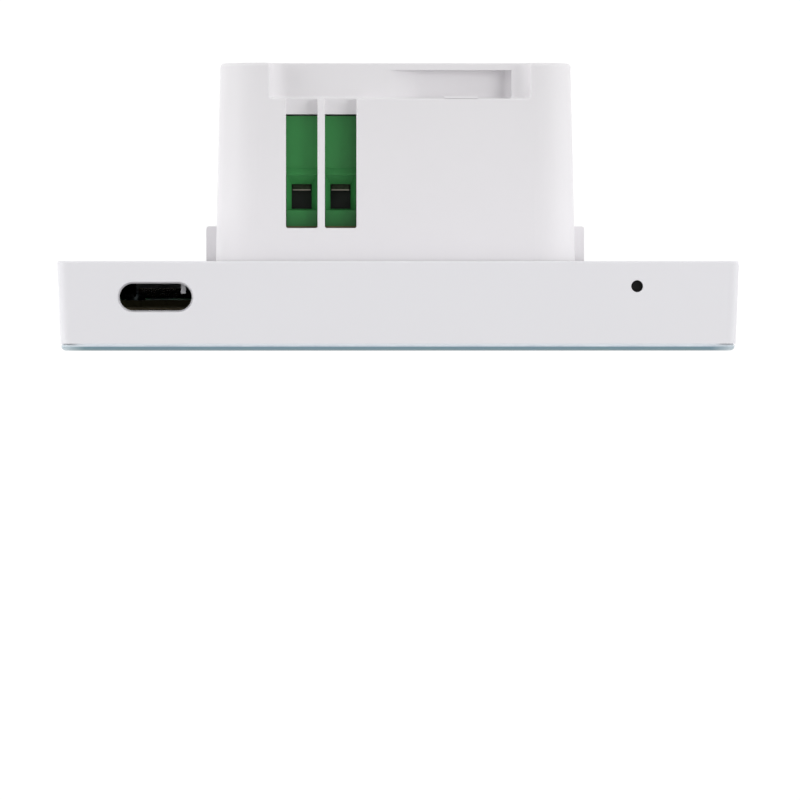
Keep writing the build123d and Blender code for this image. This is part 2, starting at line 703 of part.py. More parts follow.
def box_outside():
    """Outside of the rear box: tapered body, straight neck in the plate and flange."""
    rear_size = 2 * box_half(box_depth)
    body = tapered(BOX_SIZE, BOX_CORNER_R, 0, rear_size, BOX_CORNER_R, box_depth)
    body = fillet(body.edges().group_by(Axis.Y)[-1], BOX_EDGE_R)
    body += slab(RectangleRounded(BOX_SIZE, BOX_SIZE, BOX_CORNER_R), plate_front, 0)
    flange_size = BOX_SIZE + 2 * FLANGE_WIDTH
    flange = RectangleRounded(flange_size, flange_size, BOX_CORNER_R + FLANGE_WIDTH)
    return body + slab(flange, flange_front, plate_front)


def box_inside():
    """Hollow of the rear box, which leaves walls round the recess, the screwdriver tubes and the trough."""
    inner_r = BOX_CORNER_R - BOX_WALL
    front_size = BOX_SIZE - 2 * BOX_WALL
    rear = box_depth - BOX_WALL
    hollow = tapered(front_size, inner_r, 0, 2 * (box_half(rear) - BOX_WALL), inner_r, rear)
    hollow += slab(RectangleRounded(front_size, front_size, inner_r), flange_front - PAST, 0)
    hollow -= slab(recess_sketch(BOX_WALL), recess_floor_inner, box_depth)
    hollow -= slab(pocket_sketch(BOX_WALL), recess_floor_inner, box_depth)
    tubes = at_each(access_points(), Circle(ACCESS_HOLE_R + ACCESS_TUBE_WALL))
    hollow -= slab(tubes, recess_floor_inner, box_depth)
    return hollow - trough_solid(TROUGH_WALL, trough_front - TROUGH_WALL)


def snap_hooks():
    """Hooks on the box's side walls that catch behind the mounting plate."""
    outer = BOX_SIZE / 2 + HOOK_REACH
    root = box_half(HOOK_LENGTH) - BOX_WALL / 2
    hook = block((root, outer), (-HOOK_SEAT, HOOK_LENGTH), (-HOOK_WIDTH / 2, HOOK_WIDTH / 2))
    tip = hook.edges().filter_by(Axis.Z).group_by(Axis.Y)[-1].sort_by(Axis.X)[-1]
    hook = fillet(tip, HOOK_R)
    pair = [Pos(0, 0, z) * hook for z in (-HOOK_FROM_MIDDLE, HOOK_FROM_MIDDLE)]
    return pair + [mirror(one, Plane.YZ) for one in pair]


def soften_mouths(box):
    """Round the outer edges of the notches, the recess, the window and the trough."""
    rear = box_depth - BOX_EDGE_R
    skin = box_half(box_depth) - MOUTH_R
    underside = (-BOX_SIZE, -skin)
    recess_x = around(RECESS_X, RECESS_WIDTH / 2 + RECESS_FLOOR_R)
    top = edges_within(box, recess_x, (PAST, rear), (skin, BOX_SIZE))
    window_x = around(SIGNAL_X + WINDOW_SHIFT, WINDOW_WIDTH / 2 + MOUTH_R)
    window = edges_within(box, window_x, (PAST, trough_front - TROUGH_LIP_R), underside)
    box = fillet(top + window, MOUTH_R)
    trough_x = around(TROUGH_X, TROUGH_REAR_WIDTH / 2 + TROUGH_LIP_R)
    return fillet(edges_within(box, trough_x, (trough_front - MOUTH_R, rear), underside), TROUGH_LIP_R)


def rear_box():
    """White box that goes into the wall: wire recess, wire notches, terminal window and wire trough."""
    box = box_outside() - box_inside()
    recess = slab(recess_sketch(0), recess_floor, box_depth + PAST)
    recess += slab(pocket_sketch(0), recess_floor, box_depth - POCKET_REAR_WALL)
    box -= fillet(recess.edges().group_by(Axis.Y)[0], RECESS_FLOOR_R)
    box -= trough_solid(0, trough_front)
    notch_front = power_board_rear - NOTCH_LEAD
    for dx in pole_offsets:
        x = POWER_X + dx
        notch_length = recess_floor + PAST - notch_front
        notch = Pos(x, notch_front + notch_length / 2) * RectangleRounded(NOTCH_WIDTH, notch_length, NOTCH_R)
        box -= upright(notch, power_entry_face, BOX_SIZE)
        wire = Pos(SIGNAL_X + dx, signal_wire_z) * Rectangle(WIRE_HOLE_WIDTH, WIRE_HOLE_HEIGHT)
        box -= slab(wire, signal_front, trough_front + PAST)
    box -= slab(at_each(access_points(), Circle(ACCESS_HOLE_R)), recess_floor_inner - PAST, box_depth + PAST)
    window_x = SIGNAL_X + WINDOW_SHIFT
    window_y = signal_screw_y - SIGNAL.back - WINDOW_LEAD
    window = RectangleRounded(WINDOW_WIDTH, WINDOW_HEIGHT, WINDOW_R)
    box -= upright(Pos(window_x, window_y + WINDOW_HEIGHT / 2) * window, -BOX_SIZE, signal_screw_face)
    box = soften_mouths(box)
    posts = slab(at_each(post_points(), Circle(POST_R)), power_board_rear, power_board_rear + POST_LENGTH)
    box += posts & box_outside()
    box -= slab(at_each(post_points(), Circle(POST_SCREW_R + SCREW_GAP)), power_board_rear - PAST,
                power_board_rear + POST_LENGTH - PAST)
    nub_top = box_half(recess_floor)
    nub_y = (recess_floor, recess_floor + NUB_HEIGHT)
    box += block(around(NUB_X, NUB_LENGTH / 2), nub_y, (nub_top - NUB_WIDTH, nub_top))
    return box + snap_hooks()


def power_board():
    """Power board across the mouth of the rear box."""
    outline = RectangleRounded(2 * power_board_half, 2 * power_board_half, POWER_BOARD_R)
    outline -= at_each(post_points(), Circle(POST_SCREW_R + SCREW_GAP))
    leg = PIN_LEG_WIDTH + 2 * BAR_GAP
    outline -= at_each(power_leg_points() + signal_leg_points(), Rectangle(leg, leg))
    return slab(outline, POWER_BOARD_FROM_WALL, power_board_rear)


def power_leg_points():
    """Places of the power terminal's solder legs in X and Z."""
    z = power_screw_z - POWER.back + PIN_LEG_INSET + PIN_LEG_THICK / 2
    return [(POWER_X + dx, z) for dx in pole_offsets]


def signal_leg_points():
    """Places of the signal terminal's solder legs in X and Z."""
    z = signal_screw_face + SIGNAL.entry - WIRE_HOLE_HEIGHT / 2 + BAR_THICK / 2
    return [(SIGNAL_X + dx, z) for dx in pole_offsets]


def power_board_screws():
    """Two screws that hold the power board to the box's posts."""
    head_front = POWER_BOARD_FROM_WALL - POST_SCREW_HEAD_THICK
    screw = slab(Circle(POST_SCREW_HEAD_R), head_front, POWER_BOARD_FROM_WALL)
    screw += slab(Circle(POST_SCREW_R), POWER_BOARD_FROM_WALL, POWER_BOARD_FROM_WALL + POST_SCREW_LENGTH)
    slot = Rectangle(2 * POST_SCREW_HEAD_R, POST_SCREW_SLOT)
    screw -= slab(slot, head_front - PAST, head_front + POST_SCREW_HEAD_THICK / 2)
    return Compound([Pos(x, 0, z) * screw for x, z in post_points()])


def header_strip():
    """Plastic strip of the pin header on the control board."""
    strip = Rectangle(HEADER_COLUMNS * HEADER_PITCH, HEADER_ROWS * HEADER_PITCH)
    outline = Pos(HEADER_X, HEADER_Z) * strip
    outline -= at_each(header_points(), Rectangle(PIN_SIZE + PIN_GAP, PIN_SIZE + PIN_GAP))
    return slab(outline, board_rear, board_rear + HEADER_STRIP_THICK)


def header_pins():
    """Pins that carry power and signals from the wall side to the front."""
    pin = slab(Rectangle(PIN_SIZE, PIN_SIZE), board_front - PIN_TAIL, socket_front + PIN_ENGAGED)
    return Compound([Pos(x, 0, z) * pin for x, z in header_points()])


def board_socket():
    """Socket on the power board that the header's pins slide into."""
    strip = Rectangle(HEADER_COLUMNS * HEADER_PITCH, HEADER_ROWS * HEADER_PITCH)
    socket = slab(Pos(HEADER_X, HEADER_Z) * strip, socket_front, POWER_BOARD_FROM_WALL)
    hole = PIN_SIZE + 2 * PIN_GAP
    return socket - slab(at_each(header_points(), Rectangle(hole, hole)), socket_front - PAST,
                         POWER_BOARD_FROM_WALL - SOCKET_FLOOR)


def relay():
    """Sealed relay that switches the load."""
    right = post_at - POST_R - RELAY_POST_GAP
    top = power_board_half - RELAY_EDGE_GAP
    y = (power_board_rear, power_board_rear + RELAY_HEIGHT)
    case = block((right - RELAY_LENGTH, right), y, (top - RELAY_WIDTH, top))
    return fillet(case.edges().group_by(Axis.Y)[-1], PART_EDGE_R)


core_x = -power_board_half + CORE_EDGE_GAP + CORE_WIDTH / 2
core_low = power_board_rear + BOBBIN_BASE + BOBBIN_FIT
window_low = core_low + CORE_YOKE
window_high = core_low + CORE_HEIGHT - CORE_YOKE
window_outer = CORE_WIDTH / 2 - CORE_OUTER_LEG


def transformer_core():
    """Ferrite core with two windows beside its centre leg."""
    half = CORE_WIDTH / 2
    thick = (-CORE_THICK / 2, CORE_THICK / 2)
    core = block((-half, half), (core_low, core_low + CORE_HEIGHT), thick)
    for side in (-1, 1):
        x = sorted((side * CORE_LEG / 2, side * window_outer))
        core -= block(x, (window_low, window_high), thick)
    return Pos(core_x, 0, 0) * core


def transformer_bobbin():
    """Bobbin with its base, its tube round the centre leg and two flanges."""
    half = BOBBIN_DEPTH / 2
    width = window_outer - BOBBIN_FIT
    bore = CORE_LEG + 2 * BOBBIN_FIT
    tube = bore + 2 * BOBBIN_WALL
    low = window_low + BOBBIN_FIT
    high = window_high - BOBBIN_FIT
    bobbin = slab(Rectangle(tube, tube), low, high)
    bobbin += slab(Rectangle(2 * width, BOBBIN_DEPTH), low, low + BOBBIN_FLANGE)
    bobbin += slab(Rectangle(2 * width, BOBBIN_DEPTH), high - BOBBIN_FLANGE, high)
    bobbin -= slab(Rectangle(bore, bore), low - PAST, high + PAST)
    base_top = power_board_rear + BOBBIN_BASE
    bobbin += slab(Rectangle(CORE_WIDTH, BOBBIN_DEPTH), power_board_rear, base_top)
    for side in (-1, 1):
        z = sorted((side * (CORE_THICK / 2 + BOBBIN_FIT), side * half))
        bobbin += block((-width, width), (base_top, low), z)
    return Pos(core_x, 0, 0) * bobbin


def transformer_winding():
    """Taped winding between the bobbin's flanges."""
    width = 2 * (window_outer - BOBBIN_FIT - WINDING_INSET)
    depth = BOBBIN_DEPTH - 2 * WINDING_INSET
    tube = CORE_LEG + 2 * (BOBBIN_FIT + BOBBIN_WALL)
    ring = RectangleRounded(width, depth, CAN_EDGE_R) - Rectangle(tube, tube)
    low = window_low + BOBBIN_FIT + BOBBIN_FLANGE
    return Pos(core_x, 0, 0) * slab(ring, low, window_high - BOBBIN_FIT - BOBBIN_FLANGE)


def capacitor(radius, height):
    """Upright can capacitor on the power board."""
    can = slab(Circle(radius), power_board_rear, power_board_rear + height)
    return fillet(can.edges().group_by(Axis.Y)[-1], CAN_EDGE_R)


def varistor():
    """Disc varistor that stands on two leads."""
    centre = power_board_rear + VARISTOR_LIFT + VARISTOR_R
    disc = Pos(VARISTOR_X, centre, VARISTOR_Z) * Cylinder(VARISTOR_R, VARISTOR_THICK)
    ends = [(VARISTOR_X - LEAD_SPACING / 2, VARISTOR_Z), (VARISTOR_X + LEAD_SPACING / 2, VARISTOR_Z)]
    return disc + slab(at_each(ends, Circle(LEAD_R)), power_board_rear, centre)


def fuse():
    """Small boxed fuse."""
    case = slab(Pos(FUSE_X, FUSE_Z) * Rectangle(FUSE_LENGTH, FUSE_WIDTH), power_board_rear,
                power_board_rear + FUSE_HEIGHT)
    return fillet(case.edges().group_by(Axis.Y)[-1], PART_EDGE_R)


def power_place(dx):
    """Frame of one power terminal: its screw faces the wall and its wire entry faces up."""
    origin = (POWER_X + dx, power_screw_face, power_screw_z)
    return Plane(origin=origin, x_dir=(-1, 0, 0), z_dir=(0, 1, 0)).location


def signal_place(dx):
    """Frame of one signal terminal: its screw faces down and its wire entry faces the wall."""
    origin = (SIGNAL_X + dx, signal_screw_y, signal_screw_face)
    return Plane(origin=origin, x_dir=(-1, 0, 0), z_dir=(0, 0, -1)).location


def seat_low(kind):
    """Underside of the ledge that a terminal screw's head sits on."""
    return -kind.head_sink - HEAD_THICK - SEAT_THICK


def bar_top(kind):
    """Top of the contact bar, level with the top of the wire hole."""
    return -kind.entry + WIRE_HOLE_HEIGHT / 2


def wire_low(kind):
    """Bottom of the wire hole."""
    return -kind.entry - WIRE_HOLE_HEIGHT / 2


def side_extrusion(points):
    """Two-pole body made from a side outline in y and z."""
    outline = make_face(Polyline(*points, close=True).edges())
    return extrude(Plane.YZ.offset(-TERMINAL_PITCH) * outline, amount=2 * TERMINAL_PITCH)


def pole_cuts(kind, leg_slot):
    """What is cut out of a terminal body for one pole."""
    half = WIRE_HOLE_WIDTH / 2 + CAGE_WALL + CAGE_GAP
    deep = CAGE_DEPTH / 2 + CAGE_GAP
    cavity = block((-half, half), (-deep, deep), (wire_low(kind) - CAGE_END - CAGE_GAP, seat_low(kind)))
    well = upright(Circle(WELL_R), -kind.head_sink - HEAD_THICK, PAST)
    rim = Pos(0, 0, -WELL_RIM / 2) * Cone(WELL_R, WELL_R + WELL_RIM, WELL_RIM)
    shank = upright(Circle(SHANK_R + SHANK_GAP), seat_low(kind) - PAST, -kind.head_sink)
    hole_x = (-WIRE_HOLE_WIDTH / 2, WIRE_HOLE_WIDTH / 2)
    hole = block(hole_x, (0, kind.front + PAST), (wire_low(kind), bar_top(kind)))
    face = Plane(origin=(0, kind.front, 0), x_dir=(1, 0, 0), z_dir=(0, 1, 0))
    mouth_z = -kind.entry + (FUNNEL_ABOVE - FUNNEL_BELOW) / 2
    mouth = Rectangle(FUNNEL_WIDTH, WIRE_HOLE_HEIGHT + FUNNEL_ABOVE + FUNNEL_BELOW)
    throat = Rectangle(WIRE_HOLE_WIDTH, WIRE_HOLE_HEIGHT)
    wide = face * Pos(0, -mouth_z) * mouth
    narrow = face.offset(-FUNNEL_DEPTH) * Pos(0, kind.entry) * throat
    return [cavity, well, rim, shank, hole, loft([narrow, wide], ruled=True), leg_slot]


def power_bar(gap):
    """Contact bar of a power terminal, bent down to its solder leg and grown by a gap."""
    half = BAR_WIDTH / 2 + gap
    top = bar_top(POWER)
    back = -POWER.back + PIN_LEG_INSET
    flat = block((-half, half), (back - gap, CAGE_DEPTH / 2), (top - BAR_THICK - gap, top + gap))
    leg = PIN_LEG_WIDTH / 2 + gap
    end = -POWER.height - POWER_BOARD_THICK - PIN_PROUD
    return flat + block((-leg, leg), (back - gap, back + PIN_LEG_THICK + gap), (end, top))


def signal_bar(gap):
    """Contact bar of a signal terminal, drawn out into its solder leg and grown by a gap."""
    half = BAR_WIDTH / 2 + gap
    top = bar_top(SIGNAL)
    z = (top - BAR_THICK - gap, top + gap)
    flat = block((-half, half), (-SIGNAL.back, CAGE_DEPTH / 2), z)
    end = -SIGNAL.back - SIGNAL_STANDOFF - POWER_BOARD_THICK - PIN_PROUD
    leg = PIN_LEG_WIDTH / 2 + gap
    return flat + block((-leg, leg), (end, -SIGNAL.back), z)


def terminal_body(kind, points, bar):
    """Two-pole terminal body with its wells, cage rooms and wire funnels."""
    body = side_extrusion(points)
    for dx in pole_offsets:
        body -= [Pos(dx, 0, 0) * cut for cut in pole_cuts(kind, bar(BAR_GAP))]
    for dx in (-TERMINAL_PITCH, 0, TERMINAL_PITCH):
        groove = (kind.front - POLE_GROOVE_DEPTH, kind.front + PAST)
        body -= block(around(dx, POLE_GROOVE_WIDTH / 2), groove, (-kind.height, 0))
    return body


def power_terminal_body():
    """Green power terminal: a set-back upper face over a ledge and the wire funnels."""
    upper = POWER.front - LEDGE_STEP
    ledge = -LEDGE_FROM_TOP
    points = [(-POWER.back, -POWER.height), (POWER.front, -POWER.height), (POWER.front, ledge - LEDGE_STEP),
              (upper, ledge), (upper, 0), (-POWER.back, 0)]
    return power_place(0) * terminal_body(POWER, points, power_bar)


def signal_terminal_body():
    """Green signal terminal on a foot, with a sloped edge over its wire entries."""
    lip = SIGNAL.front - SIGNAL_LIP
    points = [(-SIGNAL.back, -SIGNAL.height), (SIGNAL.front, -SIGNAL.height),
              (SIGNAL.front, -SIGNAL_SLOPE_DROP), (lip, -SIGNAL_SLOPE_DROP),
              (lip - SIGNAL_SLOPE_RUN, 0), (-SIGNAL.back, 0)]
    body = terminal_body(SIGNAL, points, signal_bar)
    foot_y = (-SIGNAL.back - SIGNAL_STANDOFF, -SIGNAL.back)
    foot = block((-TERMINAL_PITCH, TERMINAL_PITCH), foot_y, (-SIGNAL.height, -SIGNAL_FOOT_SINK))
    foot -= [Pos(dx, 0, 0) * signal_bar(BAR_GAP) for dx in pole_offsets]
    return signal_place(0) * (body + foot)


def terminal_screw(kind, turn):
    """Terminal screw with a combined slot and cross recess, turned by an angle."""
    head = upright(Circle(HEAD_R), -kind.head_sink - HEAD_THICK, -kind.head_sink)
    head = chamfer(head.edges().group_by(Axis.Z)[-1], HEAD_CHAMFER)
    slot = Rectangle(2 * HEAD_R, DRIVE_SLOT_WIDTH)
    head -= upright(slot, -kind.head_sink - DRIVE_SLOT_DEPTH, PAST)
    cross = Rectangle(DRIVE_CROSS_SPAN, DRIVE_SLOT_WIDTH) + Rectangle(DRIVE_SLOT_WIDTH, DRIVE_CROSS_SPAN)
    head -= upright(cross, -kind.head_sink - DRIVE_CROSS_DEPTH, PAST)
    shank = upright(Circle(SHANK_R), bar_top(kind) + CAGE_GAP, -kind.head_sink - HEAD_THICK)
    return Rot(0, 0, turn) * (head + shank)


def wire_clamp(kind):
    """Metal cage that a terminal screw draws up to press the wire against the contact bar."""
    inner = WIRE_HOLE_WIDTH / 2
    half = inner + CAGE_WALL
    deep = CAGE_DEPTH / 2
    low = wire_low(kind)
    roof = bar_top(kind) + 2 * CAGE_GAP
    cage = block((-half, half), (-deep, deep), (low - CAGE_END, roof + CAGE_END))
    cage -= block((-inner, inner), (-deep - PAST, deep + PAST), (low, roof))
    return cage - upright(Circle(SHANK_R + SHANK_GAP), roof - PAST, roof + CAGE_END + PAST)


left, right = pole_offsets
nodes = {
    "front_shell": front_shell(),
    "glass_panel": glass_panel(),
    "glass_adhesive": glass_adhesive(),
    "display_module": display_module(),
    "inner_frame": inner_frame(),
    "vent_mesh": vent_mesh(),
    "control_board": control_board(),
    "temperature_sensor": temperature_sensor(),
    "processor": processor(),
    "wireless_module": wireless_module(),
    "reset_switch_body": reset_switch_body(),
    "reset_plunger": reset_plunger(),
    "display_flex": display_flex(),
    "flex_connector": flex_connector(),
    "front_screws": front_screws(),
    "header_strip": header_strip(),
    "header_pins": header_pins(),
    "mounting_plate": mounting_plate(),
    "rear_box": rear_box(),
    "power_board": power_board(),
    "power_board_screws": power_board_screws(),
    "board_socket": board_socket(),
    "relay": relay(),
    "transformer_core": transformer_core(),
    "transformer_bobbin": transformer_bobbin(),
    "transformer_winding": transformer_winding(),
    "filter_capacitor": Pos(FILTER_X, 0, FILTER_Z) * capacitor(FILTER_R, FILTER_HEIGHT),
    "output_capacitor": Pos(OUTPUT_X, 0, OUTPUT_Z) * capacitor(OUTPUT_R, OUTPUT_HEIGHT),
    "varistor": varistor(),
    "fuse": fuse(),
    "power_terminal_body": power_terminal_body(),
    "signal_terminal_body": signal_terminal_body(),
    "power_contact_bars": Compound([power_place(dx) * power_bar(0) for dx in pole_offsets]),
    "signal_contact_bars": Compound([signal_place(dx) * signal_bar(0) for dx in pole_offsets]),
    "power_screw_left": power_place(left) * terminal_screw(POWER, POWER_SCREW_TURNS[0]),
    "power_screw_right": power_place(right) * terminal_screw(POWER, POWER_SCREW_TURNS[1]),
    "signal_screw_left": signal_place(left) * terminal_screw(SIGNAL, SIGNAL_SCREW_TURNS[0]),
    "signal_screw_right": signal_place(right) * terminal_screw(SIGNAL, SIGNAL_SCREW_TURNS[1]),
    "power_clamp_left": power_place(left) * wire_clamp(POWER),
    "power_clamp_right": power_place(right) * wire_clamp(POWER),
    "signal_clamp_left": signal_place(left) * wire_clamp(SIGNAL),
    "signal_clamp_right": signal_place(right) * wire_clamp(SIGNAL),
}

os.makedirs("parts", exist_ok=True)
for name, shape in nodes.items():
    export_step(shape, f"parts/{name}.step")
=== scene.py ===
import json
import math
import random

import bmesh
import bpy
from mathutils import Matrix, Vector


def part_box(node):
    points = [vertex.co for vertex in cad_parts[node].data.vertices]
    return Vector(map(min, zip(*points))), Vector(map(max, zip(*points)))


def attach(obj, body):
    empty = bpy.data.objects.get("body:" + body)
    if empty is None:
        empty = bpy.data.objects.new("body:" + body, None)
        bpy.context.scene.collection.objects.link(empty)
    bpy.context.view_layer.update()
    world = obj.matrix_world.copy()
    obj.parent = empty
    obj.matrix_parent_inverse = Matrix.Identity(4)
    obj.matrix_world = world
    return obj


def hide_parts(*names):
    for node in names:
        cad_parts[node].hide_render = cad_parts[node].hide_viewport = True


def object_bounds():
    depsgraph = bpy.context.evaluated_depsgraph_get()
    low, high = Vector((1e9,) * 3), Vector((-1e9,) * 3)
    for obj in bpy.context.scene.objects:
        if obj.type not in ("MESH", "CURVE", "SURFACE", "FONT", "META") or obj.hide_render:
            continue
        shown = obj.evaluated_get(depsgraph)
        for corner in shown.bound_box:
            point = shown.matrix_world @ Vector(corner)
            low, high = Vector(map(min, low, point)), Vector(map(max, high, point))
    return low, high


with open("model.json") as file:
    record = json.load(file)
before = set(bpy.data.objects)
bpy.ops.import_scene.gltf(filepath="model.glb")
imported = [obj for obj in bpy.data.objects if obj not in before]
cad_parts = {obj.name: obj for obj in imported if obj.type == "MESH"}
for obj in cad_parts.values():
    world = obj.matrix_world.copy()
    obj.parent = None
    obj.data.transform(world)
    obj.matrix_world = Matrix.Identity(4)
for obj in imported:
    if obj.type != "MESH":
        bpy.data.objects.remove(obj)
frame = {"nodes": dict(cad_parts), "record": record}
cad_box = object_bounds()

nodes = frame["nodes"]
scene = bpy.context.scene
MM = 0.001

# View, in pixels of the picture and in millimetres: the camera stands above CAMERA_FOOT, at a height that
# counts from the shell's top edge, and looks at CAMERA_AIM on that edge
PICTURE_PX = 800
PX_PER_MM = 7.94
SHELL_TOP = 43.0
CAMERA_HEIGHT = 980.0
CAMERA_FOOT = (-15.0, 0.0)
CAMERA_AIM = (0.19, -17.5)
CAMERA_SENSOR = 36.0
CAMERA_CLIP = (0.01, 20.0)

# Light: the world's level, the floor, and the lamps by name, place and size in metres, and power in watts
WORLD_LEVEL = 0.40
FLOOR_SIZE = 8.0
FLOOR_TONE = 0.9
FLOOR_ROUGH = 0.9
FLOOR_GLOW = 1.08
FLOOR_GLOW_SHARE = 0.9
LAMPS = (
    ("lamp_left", (-1.1, 0.1, 0.25), 0.9, 7.4),
    ("lamp_right", (1.1, 0.1, 0.2), 0.9, 3.2),
    ("lamp_front", (-0.35, -1.1, 0.25), 0.9, 4.7),
    ("lamp_rear", (0.0, 1.1, 0.4), 0.9, 2.7),
    ("lamp_high", (0.75, 0.15, 0.9), 0.5, 4.0),
)

# Ends of the range in which most of a noise lies, and the thickness of the radio module's own board
NOISE_LOW, NOISE_HIGH = 0.3, 0.7
MODULE_BASE_THICK = 0.8 * MM


# Node helpers
def new_material(name):
    """Material with its principled shader, ready for nodes."""
    material = bpy.data.materials.new(name)
    material.use_nodes = True
    tree = material.node_tree
    return material, tree, tree.nodes["Principled BSDF"]


def connect(tree, value, socket):
    """Link an output into a socket, or set the socket's own value."""
    if isinstance(value, bpy.types.NodeSocket):
        tree.links.new(value, socket)
    else:
        socket.default_value = value


def add(tree, kind, settings=None, **inputs):
    """Shader node with its settings, and its inputs by name or, as i0, i1 and so on, by number."""
    made = tree.nodes.new("ShaderNode" + kind)
    for key, value in (settings or {}).items():
        setattr(made, key, value)
    for key, value in inputs.items():
        numbered = key[0] == "i" and key[1:].isdigit()
        connect(tree, value, made.inputs[int(key[1:]) if numbered else key])
    return made


def place(tree):
    """Coordinates that stay with the piece, in metres."""
    return add(tree, "TexCoord").outputs["Object"]


def axes(tree, vector):
    """X, Y and Z of a vector."""
    return add(tree, "SeparateXYZ", Vector=vector).outputs


def facing(tree):
    """X, Y and Z of the direction that a surface faces."""
    return axes(tree, add(tree, "NewGeometry").outputs["Normal"])


def noise(tree, where, size_mm, detail=3.0, rough=0.5):
    """Noise whose features are about the given size."""
    return add(tree, "TexNoise", Vector=where, Scale=1 / (size_mm * MM), Detail=detail,
               Roughness=rough).outputs["Fac"]


def remap(tree, value, low, high, start=0.0, end=1.0):
    """Value moved from one range to another."""
    made = add(tree, "MapRange", i0=value, i1=start, i2=end, i3=low, i4=high)
    return made.outputs[0]


def spread(tree, value, low, high):
    """Noise stretched over a range."""
    return remap(tree, value, low, high, NOISE_LOW, NOISE_HIGH)


def patches(tree, value, most, start, end=NOISE_HIGH):
    """Nought over a noise's lower part, rising to the most at its upper end."""
    return remap(tree, value, 0.0, most, start, end)


def math_node(tree, operation, first, second=0.0):
    """One arithmetic step."""
    return add(tree, "Math", {"operation": operation}, i0=first, i1=second).outputs[0]


def blend_colour(tree, factor, first, second, mode="MIX"):
    """Mix of two colours."""
    made = tree.nodes.new("ShaderNodeMix")
    made.data_type = "RGBA"
    made.blend_type = mode
    connect(tree, factor, made.inputs[0])
    connect(tree, first, made.inputs[6])
    connect(tree, second, made.inputs[7])
    return made.outputs[2]


def bump(tree, height, depth_mm, normal=None):
    """Bumped normal from a height between nought and one."""
    made = add(tree, "Bump", Height=height, Distance=depth_mm * MM, Strength=1.0)
    if normal is not None:
        tree.links.new(normal, made.inputs["Normal"])
    return made.outputs["Normal"]


def lines(tree, along, pitch_mm, share):
    """One on parallel lines that take a share of their pitch, otherwise nought."""
    wave = math_node(tree, "FRACT", math_node(tree, "MULTIPLY", along, 1 / (pitch_mm * MM)))
    middle = math_node(tree, "ABSOLUTE", math_node(tree, "SUBTRACT", wave, 0.5))
    return remap(tree, middle, 1.0, 0.0, share * 0.45, share * 0.55)


def rgb(r, g, b):
    """Linear colour from screen values."""
    def linear(value):
        value /= 255
        return value / 12.92 if value <= 0.04045 else ((value + 0.055) / 1.055) ** 2.4
    return (linear(r), linear(g), linear(b), 1.0)


def shade(colour, factor):
    """Colour made lighter or darker."""
    return tuple(min(1.0, channel * factor) for channel in colour[:3]) + (1.0,)


def paint_shade(tree, tone, where, painted_shades):
    """Colour that gets darker from one place to another along an axis: painted shade, as falls in hollows and
    on less lit sides.
    """
    for axis, start, end, factor in painted_shades:
        grey = remap(tree, axes(tree, where)[axis], 1.0, factor, start, end)
        shadow = add(tree, "CombineColor", i0=grey, i1=grey, i2=grey).outputs[0]
        tone = blend_colour(tree, 1.0, tone, shadow, "MULTIPLY")
    return tone


# Finishes
def moulded(name, colour, rough=0.45, grain_mm=0.12, depth_mm=0.004, mottle=0.02, specular=0.5, painted_shades=()):
    """Moulded plastic: a fine spark-eroded grain, faint flow mottling and uneven gloss."""
    flow_mm, gloss_mm, uneven = 14.0, 3.5, 0.05
    material, tree, shader = new_material(name)
    where = place(tree)
    flow = noise(tree, where, flow_mm, 4.0, 0.6)
    tone = blend_colour(tree, flow, shade(colour, 1 - mottle), shade(colour, 1 + mottle))
    connect(tree, paint_shade(tree, tone, where, painted_shades), shader.inputs["Base Color"])
    gloss = noise(tree, where, gloss_mm)
    connect(tree, spread(tree, gloss, rough - uneven, rough + uneven), shader.inputs["Roughness"])
    grain = noise(tree, where, grain_mm, 2.0, 0.6)
    connect(tree, bump(tree, grain, depth_mm), shader.inputs["Normal"])
    shader.inputs["Specular IOR Level"].default_value = specular
    return material


def metal(name, colour, rough, tarnish=None, painted_shades=(), edge_mm=0.02):
    """Plated metal with fine drawn scratches, a little tarnish and edges that catch the light."""
    drawn, scratch_mm, scratch_depth_mm = (1.0, 6.0, 1.0), 0.25, 0.003
    stain_mm, stain_start, stain_end, stain_shade = 1.3, 0.45, 0.75, 0.75
    smoother, rougher = 0.08, 0.12
    material, tree, shader = new_material(name)
    where = place(tree)
    stretched = add(tree, "Mapping", Vector=where, Scale=drawn).outputs[0]
    scratch = noise(tree, stretched, scratch_mm, 4.0, 0.7)
    stain = patches(tree, noise(tree, where, stain_mm, 4.0, 0.6), 1.0, stain_start, stain_end)
    tone = blend_colour(tree, stain, colour, tarnish or shade(colour, stain_shade))
    connect(tree, paint_shade(tree, tone, where, painted_shades), shader.inputs["Base Color"])
    shader.inputs["Metallic"].default_value = 1.0
    connect(tree, spread(tree, scratch, rough - smoother, rough + rougher), shader.inputs["Roughness"])
    worn = add(tree, "Bevel", {"samples": 4}, Radius=edge_mm * MM).outputs[0]
    connect(tree, bump(tree, scratch, scratch_depth_mm, worn), shader.inputs["Normal"])
    return material


